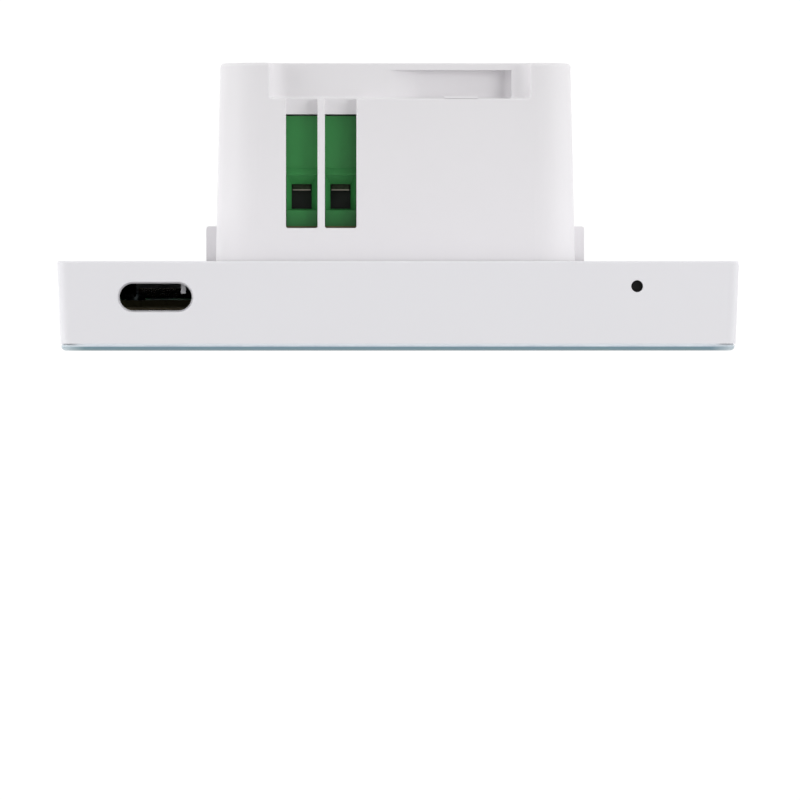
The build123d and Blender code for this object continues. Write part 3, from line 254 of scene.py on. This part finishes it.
def front_glass(name):
    """Front glass: teal polished edge with painted light in a pale band at its rear, paler at the corners,
    and a face that is dark over the display.
    """
    # The pale first stops, at the rear of the edge, are painted light coming through the glass
    edge_stops = ((0.0, rgb(240, 246, 252)), (0.18, rgb(232, 240, 248)), (0.29, rgb(122, 154, 166)),
                  (0.5, rgb(112, 144, 154)), (0.8, rgb(124, 148, 154)), (1.0, rgb(150, 166, 170)))
    blue_cast, corner_tone = rgb(118, 142, 166), rgb(208, 219, 225)
    corner_start, corner_end, corner_share = 39.5 * MM, 42.3 * MM, 0.8
    window_edge, window_end = 34.0 * MM, 34.4 * MM
    border_black, window_black = rgb(9, 10, 12), rgb(17, 19, 22)
    flat_start, flat_end = 0.97, 0.995
    wander_mm, wander_stretch, wander_share = 5.0, (1.0, 0.2, 0.2), 0.4
    smear_mm, polished, smeared = 9.0, 0.03, 0.09
    ripple_mm, ripple_depth_mm = 22.0, 0.004
    glass_ior = 1.52
    material, tree, shader = new_material(name)
    where = place(tree)
    split = axes(tree, where)
    front, rear = (corner.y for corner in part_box("glass_panel"))
    ramp = add(tree, "ValToRGB", Fac=remap(tree, split["Y"], 1.0, 0.0, front, rear))
    marks = ramp.color_ramp.elements
    while len(marks) < len(edge_stops):
        marks.new(0.5)
    for mark, (at, colour) in zip(marks, edge_stops):
        mark.position = at
        mark.color = colour
    along = add(tree, "Mapping", Vector=where, Scale=wander_stretch).outputs[0]
    wander = noise(tree, along, wander_mm, 4.0, 0.65)
    tint = blend_colour(tree, patches(tree, wander, wander_share, 0.35), ramp.outputs[0], blue_cast)
    reach_x = math_node(tree, "ABSOLUTE", split["X"])
    reach_z = math_node(tree, "ABSOLUTE", split["Z"])
    near_corner = math_node(tree, "MINIMUM", reach_x, reach_z)
    corner = remap(tree, near_corner, 0.0, corner_share, corner_start, corner_end)
    tint = blend_colour(tree, corner, tint, corner_tone)
    window = remap(tree, math_node(tree, "MAXIMUM", reach_x, reach_z), 1.0, 0.0, window_edge, window_end)
    dark = blend_colour(tree, window, border_black, window_black)
    flat = remap(tree, math_node(tree, "ABSOLUTE", facing(tree)["Y"]), 0.0, 1.0, flat_start, flat_end)
    connect(tree, blend_colour(tree, flat, tint, dark), shader.inputs["Base Color"])
    smear = noise(tree, where, smear_mm, 5.0, 0.6)
    connect(tree, remap(tree, smear, polished, smeared, 0.4, NOISE_HIGH), shader.inputs["Roughness"])
    ripple = noise(tree, where, ripple_mm, 1.0)
    connect(tree, bump(tree, ripple, ripple_depth_mm), shader.inputs["Normal"])
    shader.inputs["IOR"].default_value = glass_ior
    return material


def board(name, node):
    """Circuit board: copper runs, pours and plated holes under solder mask, and bare fibre at cut edges, with
    painted light in a pale band along their front.
    """
    mask, copper, tin = rgb(18, 72, 44), rgb(46, 112, 66), rgb(176, 160, 112)
    inner_fibre, painted_lit_fibre, painted_lit_depth = rgb(92, 88, 60), rgb(255, 236, 198), 0.4 * MM
    zone_mm, level_share, pour_from = 6.0, 0.4, 0.72
    run_pitch_mm, run_share, run_height_mm = 0.8, 0.45, 0.03
    hole_grid_mm, hole_start, hole_end = 3.2, 0.09, 0.11
    speck_mm, speck_share, speck_shade = 0.35, 0.12, 0.6
    glossy, dull = 0.30, 0.42
    edge_start, edge_end = 0.5, 0.8
    material, tree, shader = new_material(name)
    where = place(tree)
    split = axes(tree, where)
    flat = add(tree, "CombineXYZ", X=split["X"], Y=split["Z"], Z=0.0).outputs[0]
    zones = add(tree, "TexVoronoi", {"distance": "CHEBYCHEV"}, Vector=flat, Scale=1 / (zone_mm * MM),
                Randomness=0.8)
    kind = add(tree, "SeparateColor", i0=zones.outputs["Color"]).outputs[0]
    level = math_node(tree, "LESS_THAN", kind, level_share)
    upright = math_node(tree, "SUBTRACT", 1.0, level)
    poured = math_node(tree, "GREATER_THAN", kind, pour_from)
    level_runs = math_node(tree, "MULTIPLY", lines(tree, split["Z"], run_pitch_mm, run_share), level)
    upright_runs = math_node(tree, "MULTIPLY", lines(tree, split["X"], run_pitch_mm, run_share), upright)
    runs = math_node(tree, "MAXIMUM", math_node(tree, "MAXIMUM", level_runs, upright_runs), poured)
    spots = add(tree, "TexVoronoi", Vector=flat, Scale=1 / (hole_grid_mm * MM), Randomness=0.7)
    plated = remap(tree, spots.outputs["Distance"], 1.0, 0.0, hole_start, hole_end)
    speck = noise(tree, where, speck_mm, 2.0)
    tone = blend_colour(tree, runs, mask, copper)
    tone = blend_colour(tree, plated, tone, tin)
    tone = blend_colour(tree, patches(tree, speck, speck_share, 0.4), tone, shade(mask, speck_shade))
    edge = remap(tree, math_node(tree, "ABSOLUTE", facing(tree)["Y"]), 1.0, 0.0, edge_start, edge_end)
    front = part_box(node)[0].y
    # Painted light: a pale band along the front of the cut edge
    painted_lit_band = remap(tree, split["Y"], 1.0, 0.0, front, front + painted_lit_depth)
    fibre = blend_colour(tree, painted_lit_band, inner_fibre, painted_lit_fibre)
    connect(tree, blend_colour(tree, edge, tone, fibre), shader.inputs["Base Color"])
    gloss = math_node(tree, "MAXIMUM", spread(tree, speck, glossy, dull), edge)
    connect(tree, gloss, shader.inputs["Roughness"])
    connect(tree, bump(tree, runs, run_height_mm), shader.inputs["Normal"])
    return material


def woven(name, colour, dark, thread_mm):
    """Plain weave of thin threads."""
    fuzz_size, fuzz_share, fuzz_shade = 0.4, 0.4, 1.2
    thread_rise, thread_rough = 0.3, 0.95
    material, tree, shader = new_material(name)
    where = place(tree)
    split = axes(tree, where)
    turns = math.pi / (thread_mm * MM)
    warp = math_node(tree, "SINE", math_node(tree, "MULTIPLY", split["X"], turns))
    weft = math_node(tree, "SINE", math_node(tree, "MULTIPLY", split["Y"], turns))
    over = math_node(tree, "MULTIPLY", warp, weft)
    fuzz = noise(tree, where, thread_mm * fuzz_size)
    tone = blend_colour(tree, math_node(tree, "ABSOLUTE", over), dark, colour)
    tone = blend_colour(tree, patches(tree, fuzz, fuzz_share, 0.4), tone, shade(colour, fuzz_shade))
    connect(tree, tone, shader.inputs["Base Color"])
    shader.inputs["Roughness"].default_value = thread_rough
    height = remap(tree, over, 0.0, 1.0, -1.0, 1.0)
    connect(tree, bump(tree, height, thread_mm * thread_rise), shader.inputs["Normal"])
    return material


def banded(name, colour, line, axis, pitch_mm, share):
    """Surface with fine parallel lines, such as tape turns or ribbon runs."""
    speck_mm, speck_share, speck_shade = 0.5, 0.25, 0.7
    glossy, dull, line_height_mm = 0.34, 0.48, 0.02
    material, tree, shader = new_material(name)
    where = place(tree)
    stripe = lines(tree, axes(tree, where)[axis], pitch_mm, share)
    speck = noise(tree, where, speck_mm)
    tone = blend_colour(tree, stripe, colour, line)
    tone = blend_colour(tree, patches(tree, speck, speck_share, 0.35), tone, shade(colour, speck_shade))
    connect(tree, tone, shader.inputs["Base Color"])
    connect(tree, spread(tree, speck, glossy, dull), shader.inputs["Roughness"])
    connect(tree, bump(tree, stripe, line_height_mm), shader.inputs["Normal"])
    return material


def contact_metal(name, node):
    """Tinned contact bar, painted dark as shade on its cut end, with a painted highlight along the edge that
    meets the wire.
    """
    highlight_from_rear, highlight_half, highlight_end = 0.8 * MM, 0.10 * MM, 0.15 * MM
    # The two dark tones are painted shade on the bar down in the wire hole; the pale tone is a painted
    # highlight
    highlight_tone, dull, shaded_streak = rgb(132, 130, 118), rgb(30, 36, 26), rgb(52, 60, 46)
    drag_mm, drag_depth_mm = 0.4, 0.01
    material, tree, shader = new_material(name)
    where = place(tree)
    wire_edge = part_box(node)[1].y - highlight_from_rear
    from_edge = math_node(tree, "ABSOLUTE", math_node(tree, "SUBTRACT", axes(tree, where)["Y"], wire_edge))
    painted_highlight = remap(tree, from_edge, 1.0, 0.0, highlight_half, highlight_end)
    drag = noise(tree, where, drag_mm, 3.0, 0.6)
    tone = blend_colour(tree, patches(tree, drag, 1.0, 0.35), dull, shaded_streak)
    connect(tree, blend_colour(tree, painted_highlight, tone, highlight_tone), shader.inputs["Base Color"])
    shader.inputs["Metallic"].default_value = 1.0
    connect(tree, spread(tree, drag, 0.28, 0.46), shader.inputs["Roughness"])
    connect(tree, bump(tree, drag, drag_depth_mm), shader.inputs["Normal"])
    return material


def radio_module(name, node):
    """Radio module: a bare board with a tinned can on it."""
    seam = 0.02 * MM
    rub_mm, rub_depth_mm = 0.9, 0.004
    material, tree, shader = new_material(name)
    where = place(tree)
    base_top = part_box(node)[0].y + MODULE_BASE_THICK
    can = remap(tree, axes(tree, where)["Y"], 0.0, 1.0, base_top - seam, base_top + seam)
    rub = noise(tree, where, rub_mm, 4.0, 0.6)
    tin = blend_colour(tree, rub, rgb(176, 177, 174), rgb(206, 206, 202))
    mask = blend_colour(tree, rub, rgb(14, 40, 62), rgb(20, 52, 78))
    connect(tree, blend_colour(tree, can, mask, tin), shader.inputs["Base Color"])
    connect(tree, can, shader.inputs["Metallic"])
    connect(tree, spread(tree, rub, 0.24, 0.4), shader.inputs["Roughness"])
    connect(tree, bump(tree, rub, rub_depth_mm), shader.inputs["Normal"])
    return material


# Finishes by material slot
WHITE = (0.845, 0.838, 0.868, 1.0)
BOX_WHITE = (0.836, 0.821, 0.839, 1.0)
STEEL, STEEL_ROUGH = rgb(178, 184, 190), 0.22
ZINC, ZINC_TARNISH, ZINC_ROUGH = rgb(66, 90, 90), rgb(36, 54, 52), 0.3
WEAVE_THREAD_MM = 0.16
materials = {
    "white_plastic": moulded("white_plastic", WHITE, rough=0.42, mottle=0.012),
    "front_glass": front_glass("front_glass"),
    "tape": moulded("tape", rgb(240, 246, 252), rough=0.7, grain_mm=0.08, depth_mm=0.01, mottle=0.03),
    "display": moulded("display", rgb(26, 27, 30), rough=0.25, grain_mm=0.3, depth_mm=0.001, mottle=0.1),
    "black_plastic": moulded("black_plastic", rgb(13, 12, 9), rough=0.6, grain_mm=0.15, depth_mm=0.008,
                             mottle=0.15, specular=0.3),
    "cloth": woven("cloth", rgb(224, 212, 204), rgb(160, 148, 140), WEAVE_THREAD_MM),
    "circuit_board": board("circuit_board", "power_board"),
    "chip": moulded("chip", rgb(34, 34, 36), rough=0.5, grain_mm=0.05, depth_mm=0.006, mottle=0.12),
    "shield_can": metal("shield_can", rgb(196, 196, 192), rough=0.28),
    "ribbon": banded("ribbon", rgb(186, 112, 34), rgb(214, 152, 70), "X", pitch_mm=0.5, share=0.5),
    "ivory_plastic": moulded("ivory_plastic", rgb(226, 219, 200), grain_mm=0.1, depth_mm=0.005, mottle=0.04),
    "plated_steel": metal("plated_steel", STEEL, STEEL_ROUGH),
    "dark_zinc": metal("dark_zinc", rgb(88, 96, 98), ZINC_ROUGH, tarnish=rgb(58, 64, 64)),
    "brass": metal("brass", rgb(206, 190, 160), rough=0.26, tarnish=rgb(150, 132, 98)),
    "green_plastic": moulded("green_plastic", rgb(62, 160, 102), rough=0.38, grain_mm=0.15, depth_mm=0.005,
                             mottle=0.06),
    "relay_case": moulded("relay_case", rgb(38, 84, 150), rough=0.32, mottle=0.05),
    "ferrite": moulded("ferrite", rgb(48, 47, 50), rough=0.62, grain_mm=0.2, depth_mm=0.012, mottle=0.2),
    "winding_tape": banded("winding_tape", rgb(216, 178, 48), rgb(196, 152, 34), "Y", pitch_mm=1.9,
                           share=0.06),
    "capacitor_sleeve": moulded("capacitor_sleeve", rgb(30, 32, 40), rough=0.28, grain_mm=0.5, depth_mm=0.002,
                                mottle=0.08),
    "varistor_coat": moulded("varistor_coat", rgb(44, 92, 160), rough=0.35, grain_mm=0.6, depth_mm=0.03,
                             mottle=0.06),
    "fuse_case": moulded("fuse_case", rgb(120, 62, 40), rough=0.4, mottle=0.06),
}

# Finishes of single nodes, several of them with painted shade: darker down in hollows, towards the front or
# on one side
terminal_low, terminal_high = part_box("power_terminal_body")
power_face = terminal_high.z
power_middle = (terminal_low.x + terminal_high.x) / 2
power_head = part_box("power_screw_left")[1].y
signal_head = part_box("signal_screw_left")[0].z
# Painted shade on the power terminal: darker down its wire holes, away from the screw heads and on its second
# pole
down_wire_holes = ("Z", power_face - 1.6 * MM, power_face - 4.2 * MM, 0.1)
away_from_heads = ("Y", power_head - 9.5 * MM, power_head - 13.0 * MM, 0.55)
second_pole = ("X", power_middle - 1.5 * MM, power_middle + 1.5 * MM, 0.84)
# Painted shade: the clamps darker deep down, and the screw heads darker in their slots
down_clamps = ("Z", power_face - 1.2 * MM, power_face - 2.6 * MM, 0.02)
power_recess = ("Y", power_head - 0.1 * MM, power_head - 0.6 * MM, 0.25)
signal_recess = ("Z", signal_head + 0.1 * MM, signal_head + 0.6 * MM, 0.25)
SCREW_EDGE_MM = 0.06
own_materials = {
    "rear_box": moulded("box_white", BOX_WHITE, rough=0.42, mottle=0.012),
    "power_terminal_body": moulded("power_green", rgb(60, 140, 75), rough=0.38, grain_mm=0.15, depth_mm=0.005,
                                   mottle=0.1, specular=0.25,
                                   painted_shades=(down_wire_holes, away_from_heads, second_pole)),
    "control_board": board("control_board", "control_board"),
    "power_contact_bars": contact_metal("power_contact", "power_contact_bars"),
    "wireless_module": radio_module("radio_module", "wireless_module"),
    "reset_plunger": moulded("plunger_plastic", rgb(30, 28, 25), rough=0.5, grain_mm=0.1, depth_mm=0.005,
                             mottle=0.1),
}
for side in ("left", "right"):
    clamp = "power_clamp_" + side
    own_materials[clamp] = metal(clamp, STEEL, STEEL_ROUGH, painted_shades=(down_clamps,))
    for screw, recess in (("power_screw_" + side, power_recess), ("signal_screw_" + side, signal_recess)):
        own_materials[screw] = metal(screw, ZINC, ZINC_ROUGH, ZINC_TARNISH, (recess,), SCREW_EDGE_MM)

for part in frame["record"]["subparts"]:
    mesh = nodes[part["node"]].data
    mesh.materials.clear()
    mesh.materials.append(own_materials.get(part["node"], materials[part["material_slot"]]))


# Mesh helpers for the small parts
INTO_WALL, TO_ROOM = Vector((0, 1, 0)), Vector((0, -1, 0))
ACROSS = (Vector((1, 0, 0)), Vector((-1, 0, 0)))
UPRIGHT = (Vector((0, 0, 1)), Vector((0, 0, -1)))


def piece(name, shape, body, slot):
    """Object made from mesh code, which moves with a body and takes a slot's finish."""
    mesh = bpy.data.meshes.new(name)
    shape.to_mesh(mesh)
    shape.free()
    made = bpy.data.objects.new(name, mesh)
    mesh.materials.append(materials[slot])
    scene.collection.objects.link(made)
    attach(made, body)
    return made


def soft_block(shape, low, high, bevel):
    """Block between two corners with bevelled edges."""
    low, high = Vector(low), Vector(high)
    size = high - low
    fit = Matrix.Translation((low + high) / 2) @ Matrix.Diagonal((*size, 1.0))
    corners = bmesh.ops.create_cube(shape, size=1.0, matrix=fit)["verts"]
    edges = list({edge for corner in corners for edge in corner.link_edges})
    bmesh.ops.bevel(shape, geom=edges, offset=bevel, segments=2, affect="EDGES", profile=0.6)


def strip(shape, profile, width, origin, out, up):
    """Bent strip: a side profile in out and up, given a width and set at a point."""
    across = out.cross(up).normalized() * (width / 2)
    sides = []
    for sign in (-1, 1):
        sides.append([shape.verts.new(origin + out * u + up * v + across * sign) for u, v in profile])
    count = len(profile)
    shape.faces.new(sides[0])
    shape.faces.new(reversed(sides[1]))
    for i in range(count):
        j = (i + 1) % count
        shape.faces.new((sides[0][j], sides[0][i], sides[1][i], sides[1][j]))


def lathe(shape, profile, origin, up, count=14):
    """Turned form: a profile of radius and height swept round an axis."""
    side = up.orthogonal().normalized()
    other = up.cross(side)
    angles = [2 * math.pi * i / count for i in range(count)]
    rings = []
    for radius, height in profile:
        spokes = [(side * math.cos(angle) + other * math.sin(angle)) * radius for angle in angles]
        rings.append([shape.verts.new(origin + up * height + spoke) for spoke in spokes])
    for lower, upper in zip(rings, rings[1:]):
        for i in range(count):
            j = (i + 1) % count
            shape.faces.new((lower[i], lower[j], upper[j], upper[i]))
    shape.faces.new(reversed(rings[0]))
    shape.faces.new(rings[-1])


def gull_legs(shape, low, high, board_y, up, pitch, count, sides):
    """Bent legs along the sides of a chip, from its middle height down to the board."""
    knee, reach, foot = 0.15 * MM, 0.35 * MM, 0.75 * MM
    rise, thick, lift = 0.42 * MM, 0.12 * MM, 0.02 * MM
    width_share = 0.45
    profile = [(0, rise), (knee, rise), (reach, thick), (foot, thick), (foot, lift), (reach - thick, lift),
               (knee - thick / 2, rise - thick), (0, rise - thick)]
    middle = (low + high) / 2
    half = (high - low) / 2
    for out in sides:
        run = out.cross(up).normalized()
        edge = half.x if out in ACROSS else half.z
        for i in range(count):
            along = run * (i - (count - 1) / 2) * pitch
            origin = Vector((middle.x, board_y, middle.z)) + out * edge + along
            strip(shape, profile, width_share * pitch, origin, out, up)


def zone(x_range, z_range):
    """Area of a board, in X and Z, as a box."""
    return Vector((x_range[0], 0, z_range[0])), Vector((x_range[1], 0, z_range[1]))


def zone_round(x, z, half):
    """Square area round a point of a board."""
    return zone((x - half, x + half), (z - half, z + half))


def clear_of(x, z, margin, taken):
    """Whether a point lies outside a list of boxes in X and Z."""
    return all(not (low.x - margin < x < high.x + margin and low.z - margin < z < high.z + margin)
               for low, high in taken)


def scatter(seed, count, reach, margin, taken):
    """Places for small parts on a board, on a loose grid and clear of what stands there."""
    pitch, sizes = 1.9 * MM, (0.8, 1.0, 1.25)
    pick = random.Random(seed)
    steps = math.ceil(reach / pitch)
    cells = [(i * pitch, j * pitch) for i in range(-steps, steps + 1) for j in range(-steps, steps + 1)
             if max(abs(i), abs(j)) * pitch < reach]
    pick.shuffle(cells)
    found = []
    for x, z in cells:
        if len(found) < count and clear_of(x, z, margin, taken):
            found.append((x, z, pick.random() < 0.5, pick.choice(sizes)))
    return found


def board_block(shape, spot, along, y, across, bevel):
    """Block on a board, by its ranges along and across a part that lies along X or stands along Z."""
    x, z, upright = spot
    (low_x, high_x), (low_z, high_z) = (across, along) if upright else (along, across)
    soft_block(shape, (x + low_x, y[0], z + low_z), (x + high_x, y[1], z + high_z), bevel)


def passives(name, places, board_y, up, body):
    """Small resistors and capacitors: ceramic bodies with tinned end caps."""
    half_length, half_width, height, cap_length = 0.5 * MM, 0.36 * MM, 0.5 * MM, 0.28 * MM
    cap_grow, bevel = 0.03 * MM, 0.05 * MM
    bodies, caps = bmesh.new(), bmesh.new()
    for x, z, upright, scale in places:
        spot = (x, z, upright)
        length, width, tall = half_length * scale, half_width * scale, height * scale
        wide = width + cap_grow
        body_y = sorted((board_y, board_y + up.y * tall))
        cap_y = sorted((board_y, board_y + up.y * (tall + cap_grow)))
        board_block(bodies, spot, (-length, length), body_y, (-width, width), bevel)
        for sign in (-1, 1):
            ends = sorted((sign * (length + cap_grow), sign * (length - cap_length * scale)))
            board_block(caps, spot, ends, cap_y, (-wide, wide), bevel)
    piece(name + "_bodies", bodies, body, "chip")
    piece(name + "_caps", caps, body, "plated_steel")


def gauze(low, high, pitch):
    """Plain woven gauze between two corners: threads in X and Y that pass over and under each other in Z."""
    lift_share, width_share, thick_share = 0.24, 0.3, 0.2
    shape = bmesh.new()
    middle, depth = (low.z + high.z) / 2, high.z - low.z
    rise = Vector((0, 0, depth * thick_share))
    counts = [int((high[axis] - low[axis]) / pitch) for axis in (0, 1)]
    for axis, other in ((0, 1), (1, 0)):
        side = Vector((0, 0, 0))
        side[other] = pitch * width_share
        for row in range(counts[other]):
            rings = []
            for step in range(2 * counts[axis] + 1):
                sway = math.cos(math.pi * (step / 2 + row + axis)) * depth * lift_share
                centre = Vector((0, 0, middle + sway))
                centre[axis] = low[axis] + step * pitch / 2
                centre[other] = low[other] + (row + 0.5) * pitch
                rings.append([shape.verts.new(centre + offset) for offset in (side, rise, -side, -rise)])
            for first, second in zip(rings, rings[1:]):
                for i in range(4):
                    shape.faces.new((first[i], first[i - 1], second[i - 1], second[i]))
            shape.faces.new(rings[0])
            shape.faces.new(reversed(rings[-1]))
    bmesh.ops.recalc_face_normals(shape, faces=shape.faces)
    return shape


def node_boxes(*names):
    """Boxes of several nodes at rest."""
    return [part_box(name) for name in names]


# Dust cloth behind the air holes
GAUZE_PITCH = 0.25 * MM
dust_gauze = piece("dust_gauze", gauze(*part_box("vent_mesh"), GAUZE_PITCH), "front_unit", "cloth")
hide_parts("vent_mesh")

# Small parts on the control board, clear of its notches, its slits and its screws
CONTROL_SEED, CONTROL_COUNT = 7, 64
CONTROL_EDGE, CONTROL_MARGIN = 3 * MM, 1.6 * MM
BOARD_SCREWS = ((-33.5 * MM, 24 * MM), (33.5 * MM, 24 * MM), (33.5 * MM, -33 * MM), (-13 * MM, -33 * MM))
BOARD_SCREW_HALF = 2 * MM
PROCESSOR_PITCH, PROCESSOR_LEGS = 0.65 * MM, 13
board_low, board_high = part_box("control_board")
below_air_slot = zone((-38 * MM, -24 * MM), (-30 * MM, board_high.z))
lock_lug = zone((-8 * MM, 8 * MM), (board_low.z, -31 * MM))
sensor_tongue = zone((board_low.x, -15 * MM), (board_low.z, -26 * MM))
ribbon_slit = zone((-8 * MM, 8 * MM), (-27 * MM, -22 * MM))
control_taken = node_boxes("processor", "wireless_module", "reset_switch_body", "header_strip",
                           "flex_connector", "temperature_sensor", "display_flex")
control_taken += [below_air_slot, lock_lug, sensor_tongue, ribbon_slit]
control_taken += [zone_round(x, z, BOARD_SCREW_HALF) for x, z in BOARD_SCREWS]
control_reach = board_high.x - CONTROL_EDGE
control_places = scatter(CONTROL_SEED, CONTROL_COUNT, control_reach, CONTROL_MARGIN, control_taken)
passives("control_parts", control_places, board_high.y, INTO_WALL, "front_unit")

legs = bmesh.new()
gull_legs(legs, *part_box("processor"), board_high.y, INTO_WALL, PROCESSOR_PITCH, PROCESSOR_LEGS,
          ACROSS + UPRIGHT)
piece("processor_legs", legs, "front_unit", "plated_steel")

# Aerial of the radio module: a square wave of copper on its bare end
AERIAL_TURNS, AERIAL_GAP, AERIAL_LINE = 5, 1.6 * MM, 0.35 * MM
AERIAL_UPRIGHT_THICK, AERIAL_LEVEL_THICK, AERIAL_BEVEL = 0.05 * MM, 0.06 * MM, 0.01 * MM
AERIAL_FROM_SIDE, AERIAL_FROM_END, AERIAL_LENGTH = 1.0 * MM, 0.6 * MM, 2.8 * MM
module_low, module_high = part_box("wireless_module")
aerial_y = module_low.y + MODULE_BASE_THICK
aerial_top = module_high.z - AERIAL_FROM_END
aerial_low = aerial_top - AERIAL_LENGTH
aerial = bmesh.new()
for i in range(AERIAL_TURNS):
    x = module_low.x + AERIAL_FROM_SIDE + i * AERIAL_GAP
    upright_end = (x + AERIAL_LINE, aerial_y + AERIAL_UPRIGHT_THICK, aerial_top)
    soft_block(aerial, (x, aerial_y, aerial_low), upright_end, AERIAL_BEVEL)
    if i < AERIAL_TURNS - 1:
        z = aerial_top - AERIAL_LINE if i % 2 == 0 else aerial_low
        level_end = (x + AERIAL_GAP + AERIAL_LINE, aerial_y + AERIAL_LEVEL_THICK, z + AERIAL_LINE)
        soft_block(aerial, (x, aerial_y, z), level_end, AERIAL_BEVEL)
piece("aerial_trace", aerial, "front_unit", "brass")

# Solder joints on the power board, under the pins of the terminals and of the large parts
POLE_OFFSET, BAR_PIN_HEIGHT = 2.5 * MM, 0.4 * MM
TWO_ROWS = {"relay": 1.6 * MM, "transformer_bobbin": 1.2 * MM}
ONE_ROW = {"fuse": 1.4 * MM, "varistor": 1.9 * MM, "filter_capacitor": 2.2 * MM, "output_capacitor": 1.6 * MM}
SOLDER_FILLET = [(0.95 * MM, 0.0), (0.9 * MM, 0.06 * MM), (0.62 * MM, 0.2 * MM), (0.48 * MM, 0.45 * MM),
                 (0.4 * MM, 0.8 * MM), (0.22 * MM, 0.95 * MM)]
power_low, power_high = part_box("power_board")
bar_low, bar_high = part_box("power_contact_bars")
signal_low, signal_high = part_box("signal_contact_bars")
bar_rows = ((bar_low, bar_high, bar_low.z + BAR_PIN_HEIGHT),
            (signal_low, signal_high, (signal_low.z + signal_high.z) / 2))
joints = [((low.x + high.x) / 2 + sign * POLE_OFFSET, z) for low, high, z in bar_rows for sign in (-1, 1)]
for name, inset in (TWO_ROWS | ONE_ROW).items():
    low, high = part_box(name)
    rows = (low.z + inset, high.z - inset) if name in TWO_ROWS else ((low.z + high.z) / 2,)
    joints += [(x, z) for x in (low.x + inset, high.x - inset) for z in rows]
solder = bmesh.new()
for x, z in joints:
    lathe(solder, SOLDER_FILLET, Vector((x, power_low.y, z)), TO_ROOM)
piece("solder_joints", solder, "wall_unit", "plated_steel")

# Small parts and the relay's driver chip on the power board, clear of its joints and its screws
POWER_SEED, POWER_COUNT = 11, 30
POWER_EDGE, POWER_MARGIN = 2 * MM, 1.5 * MM
JOINT_HALF, POWER_SCREW, POWER_SCREW_HALF = 1.2 * MM, 18.2 * MM, 3 * MM
DRIVER_X, DRIVER_Z = (-3.0 * MM, 2.0 * MM), (3.0 * MM, 7.0 * MM)
DRIVER_THICK, DRIVER_BEVEL = 1.5 * MM, 0.12 * MM
DRIVER_PITCH, DRIVER_LEGS = 1.27 * MM, 4
driver_low = Vector((DRIVER_X[0], power_low.y - DRIVER_THICK, DRIVER_Z[0]))
driver_high = Vector((DRIVER_X[1], power_low.y, DRIVER_Z[1]))
power_taken = node_boxes("board_socket") + [(driver_low, driver_high)]
power_taken += [zone_round(x, z, JOINT_HALF) for x, z in joints]
power_taken += [zone_round(at, at, POWER_SCREW_HALF) for at in (-POWER_SCREW, POWER_SCREW)]
power_reach = power_high.x - POWER_EDGE
power_places = scatter(POWER_SEED, POWER_COUNT, power_reach, POWER_MARGIN, power_taken)
passives("power_parts", power_places, power_low.y, TO_ROOM, "wall_unit")

driver = bmesh.new()
soft_block(driver, driver_low, driver_high, DRIVER_BEVEL)
piece("driver_chip", driver, "wall_unit", "chip")
driver_legs = bmesh.new()
gull_legs(driver_legs, driver_low, driver_high, power_low.y, TO_ROOM, DRIVER_PITCH, DRIVER_LEGS, UPRIGHT)
piece("driver_legs", driver_legs, "wall_unit", "plated_steel")


# Floor, light and camera
def seen_rays(tree):
    """One where the camera, a reflection or clear glass looks, otherwise nought."""
    path = add(tree, "LightPath").outputs
    seen = math_node(tree, "MAXIMUM", path["Is Camera Ray"], path["Is Glossy Ray"])
    return math_node(tree, "MAXIMUM", seen, path["Is Transmission Ray"])


def make_floor():
    """Pale floor under the object, which looks white but keeps a faint shadow."""
    half, z = FLOOR_SIZE / 2, cad_box[0].z
    mesh = bpy.data.meshes.new("floor")
    corners = [(-half, -half, z), (half, -half, z), (half, half, z), (-half, half, z)]
    mesh.from_pydata(corners, [], [(0, 1, 2, 3)])
    floor = bpy.data.objects.new("floor", mesh)
    scene.collection.objects.link(floor)
    material, tree, shader = new_material("floor")
    shader.inputs["Base Color"].default_value = (FLOOR_TONE, FLOOR_TONE, FLOOR_TONE, 1.0)
    shader.inputs["Roughness"].default_value = FLOOR_ROUGH
    glow = add(tree, "Emission", Strength=FLOOR_GLOW).outputs[0]
    factor = math_node(tree, "MULTIPLY", seen_rays(tree), FLOOR_GLOW_SHARE)
    mixed = add(tree, "MixShader", i0=factor, i1=shader.outputs[0], i2=glow)
    tree.links.new(mixed.outputs[0], tree.nodes["Material Output"].inputs["Surface"])
    mesh.materials.append(material)


def make_world():
    """White surroundings that light the object at a lower level than they show."""
    world = bpy.data.worlds.new("studio")
    scene.world = world
    world.use_nodes = True
    tree = world.node_tree
    background = tree.nodes["Background"].inputs
    background["Color"].default_value = (1.0, 1.0, 1.0, 1.0)
    tree.links.new(remap(tree, seen_rays(tree), WORLD_LEVEL, 1.0), background["Strength"])


def make_lamp(name, at, size, power):
    """Soft square lamp that faces the middle of the object and leaves no glare on it."""
    data = bpy.data.lights.new(name, "AREA")
    data.shape = "SQUARE"
    data.size = size
    data.energy = power
    made = bpy.data.objects.new(name, data)
    made.location = at
    made.visible_glossy = False
    made.rotation_euler = (-Vector(at)).to_track_quat("-Z", "Y").to_euler()
    scene.collection.objects.link(made)


def make_camera():
    """Camera high over the top edge, turned so that the wall side is up in the picture."""
    data = bpy.data.cameras.new("camera")
    data.sensor_width = CAMERA_SENSOR
    data.lens = CAMERA_SENSOR * CAMERA_HEIGHT * PX_PER_MM / PICTURE_PX
    data.clip_start, data.clip_end = CAMERA_CLIP
    camera = bpy.data.objects.new("camera", data)
    scene.collection.objects.link(camera)
    scene.camera = camera
    eye = Vector((*CAMERA_FOOT, SHELL_TOP + CAMERA_HEIGHT)) * MM
    aim = Vector((*CAMERA_AIM, SHELL_TOP)) * MM
    back = (eye - aim).normalized()
    right = INTO_WALL.cross(back).normalized()
    turn = Matrix((right, back.cross(right), back)).transposed()
    camera.matrix_world = Matrix.Translation(eye) @ turn.to_4x4()


make_floor()
make_world()
for lamp in LAMPS:
    make_lamp(*lamp)
make_camera()
scene.view_settings.view_transform = "Standard"
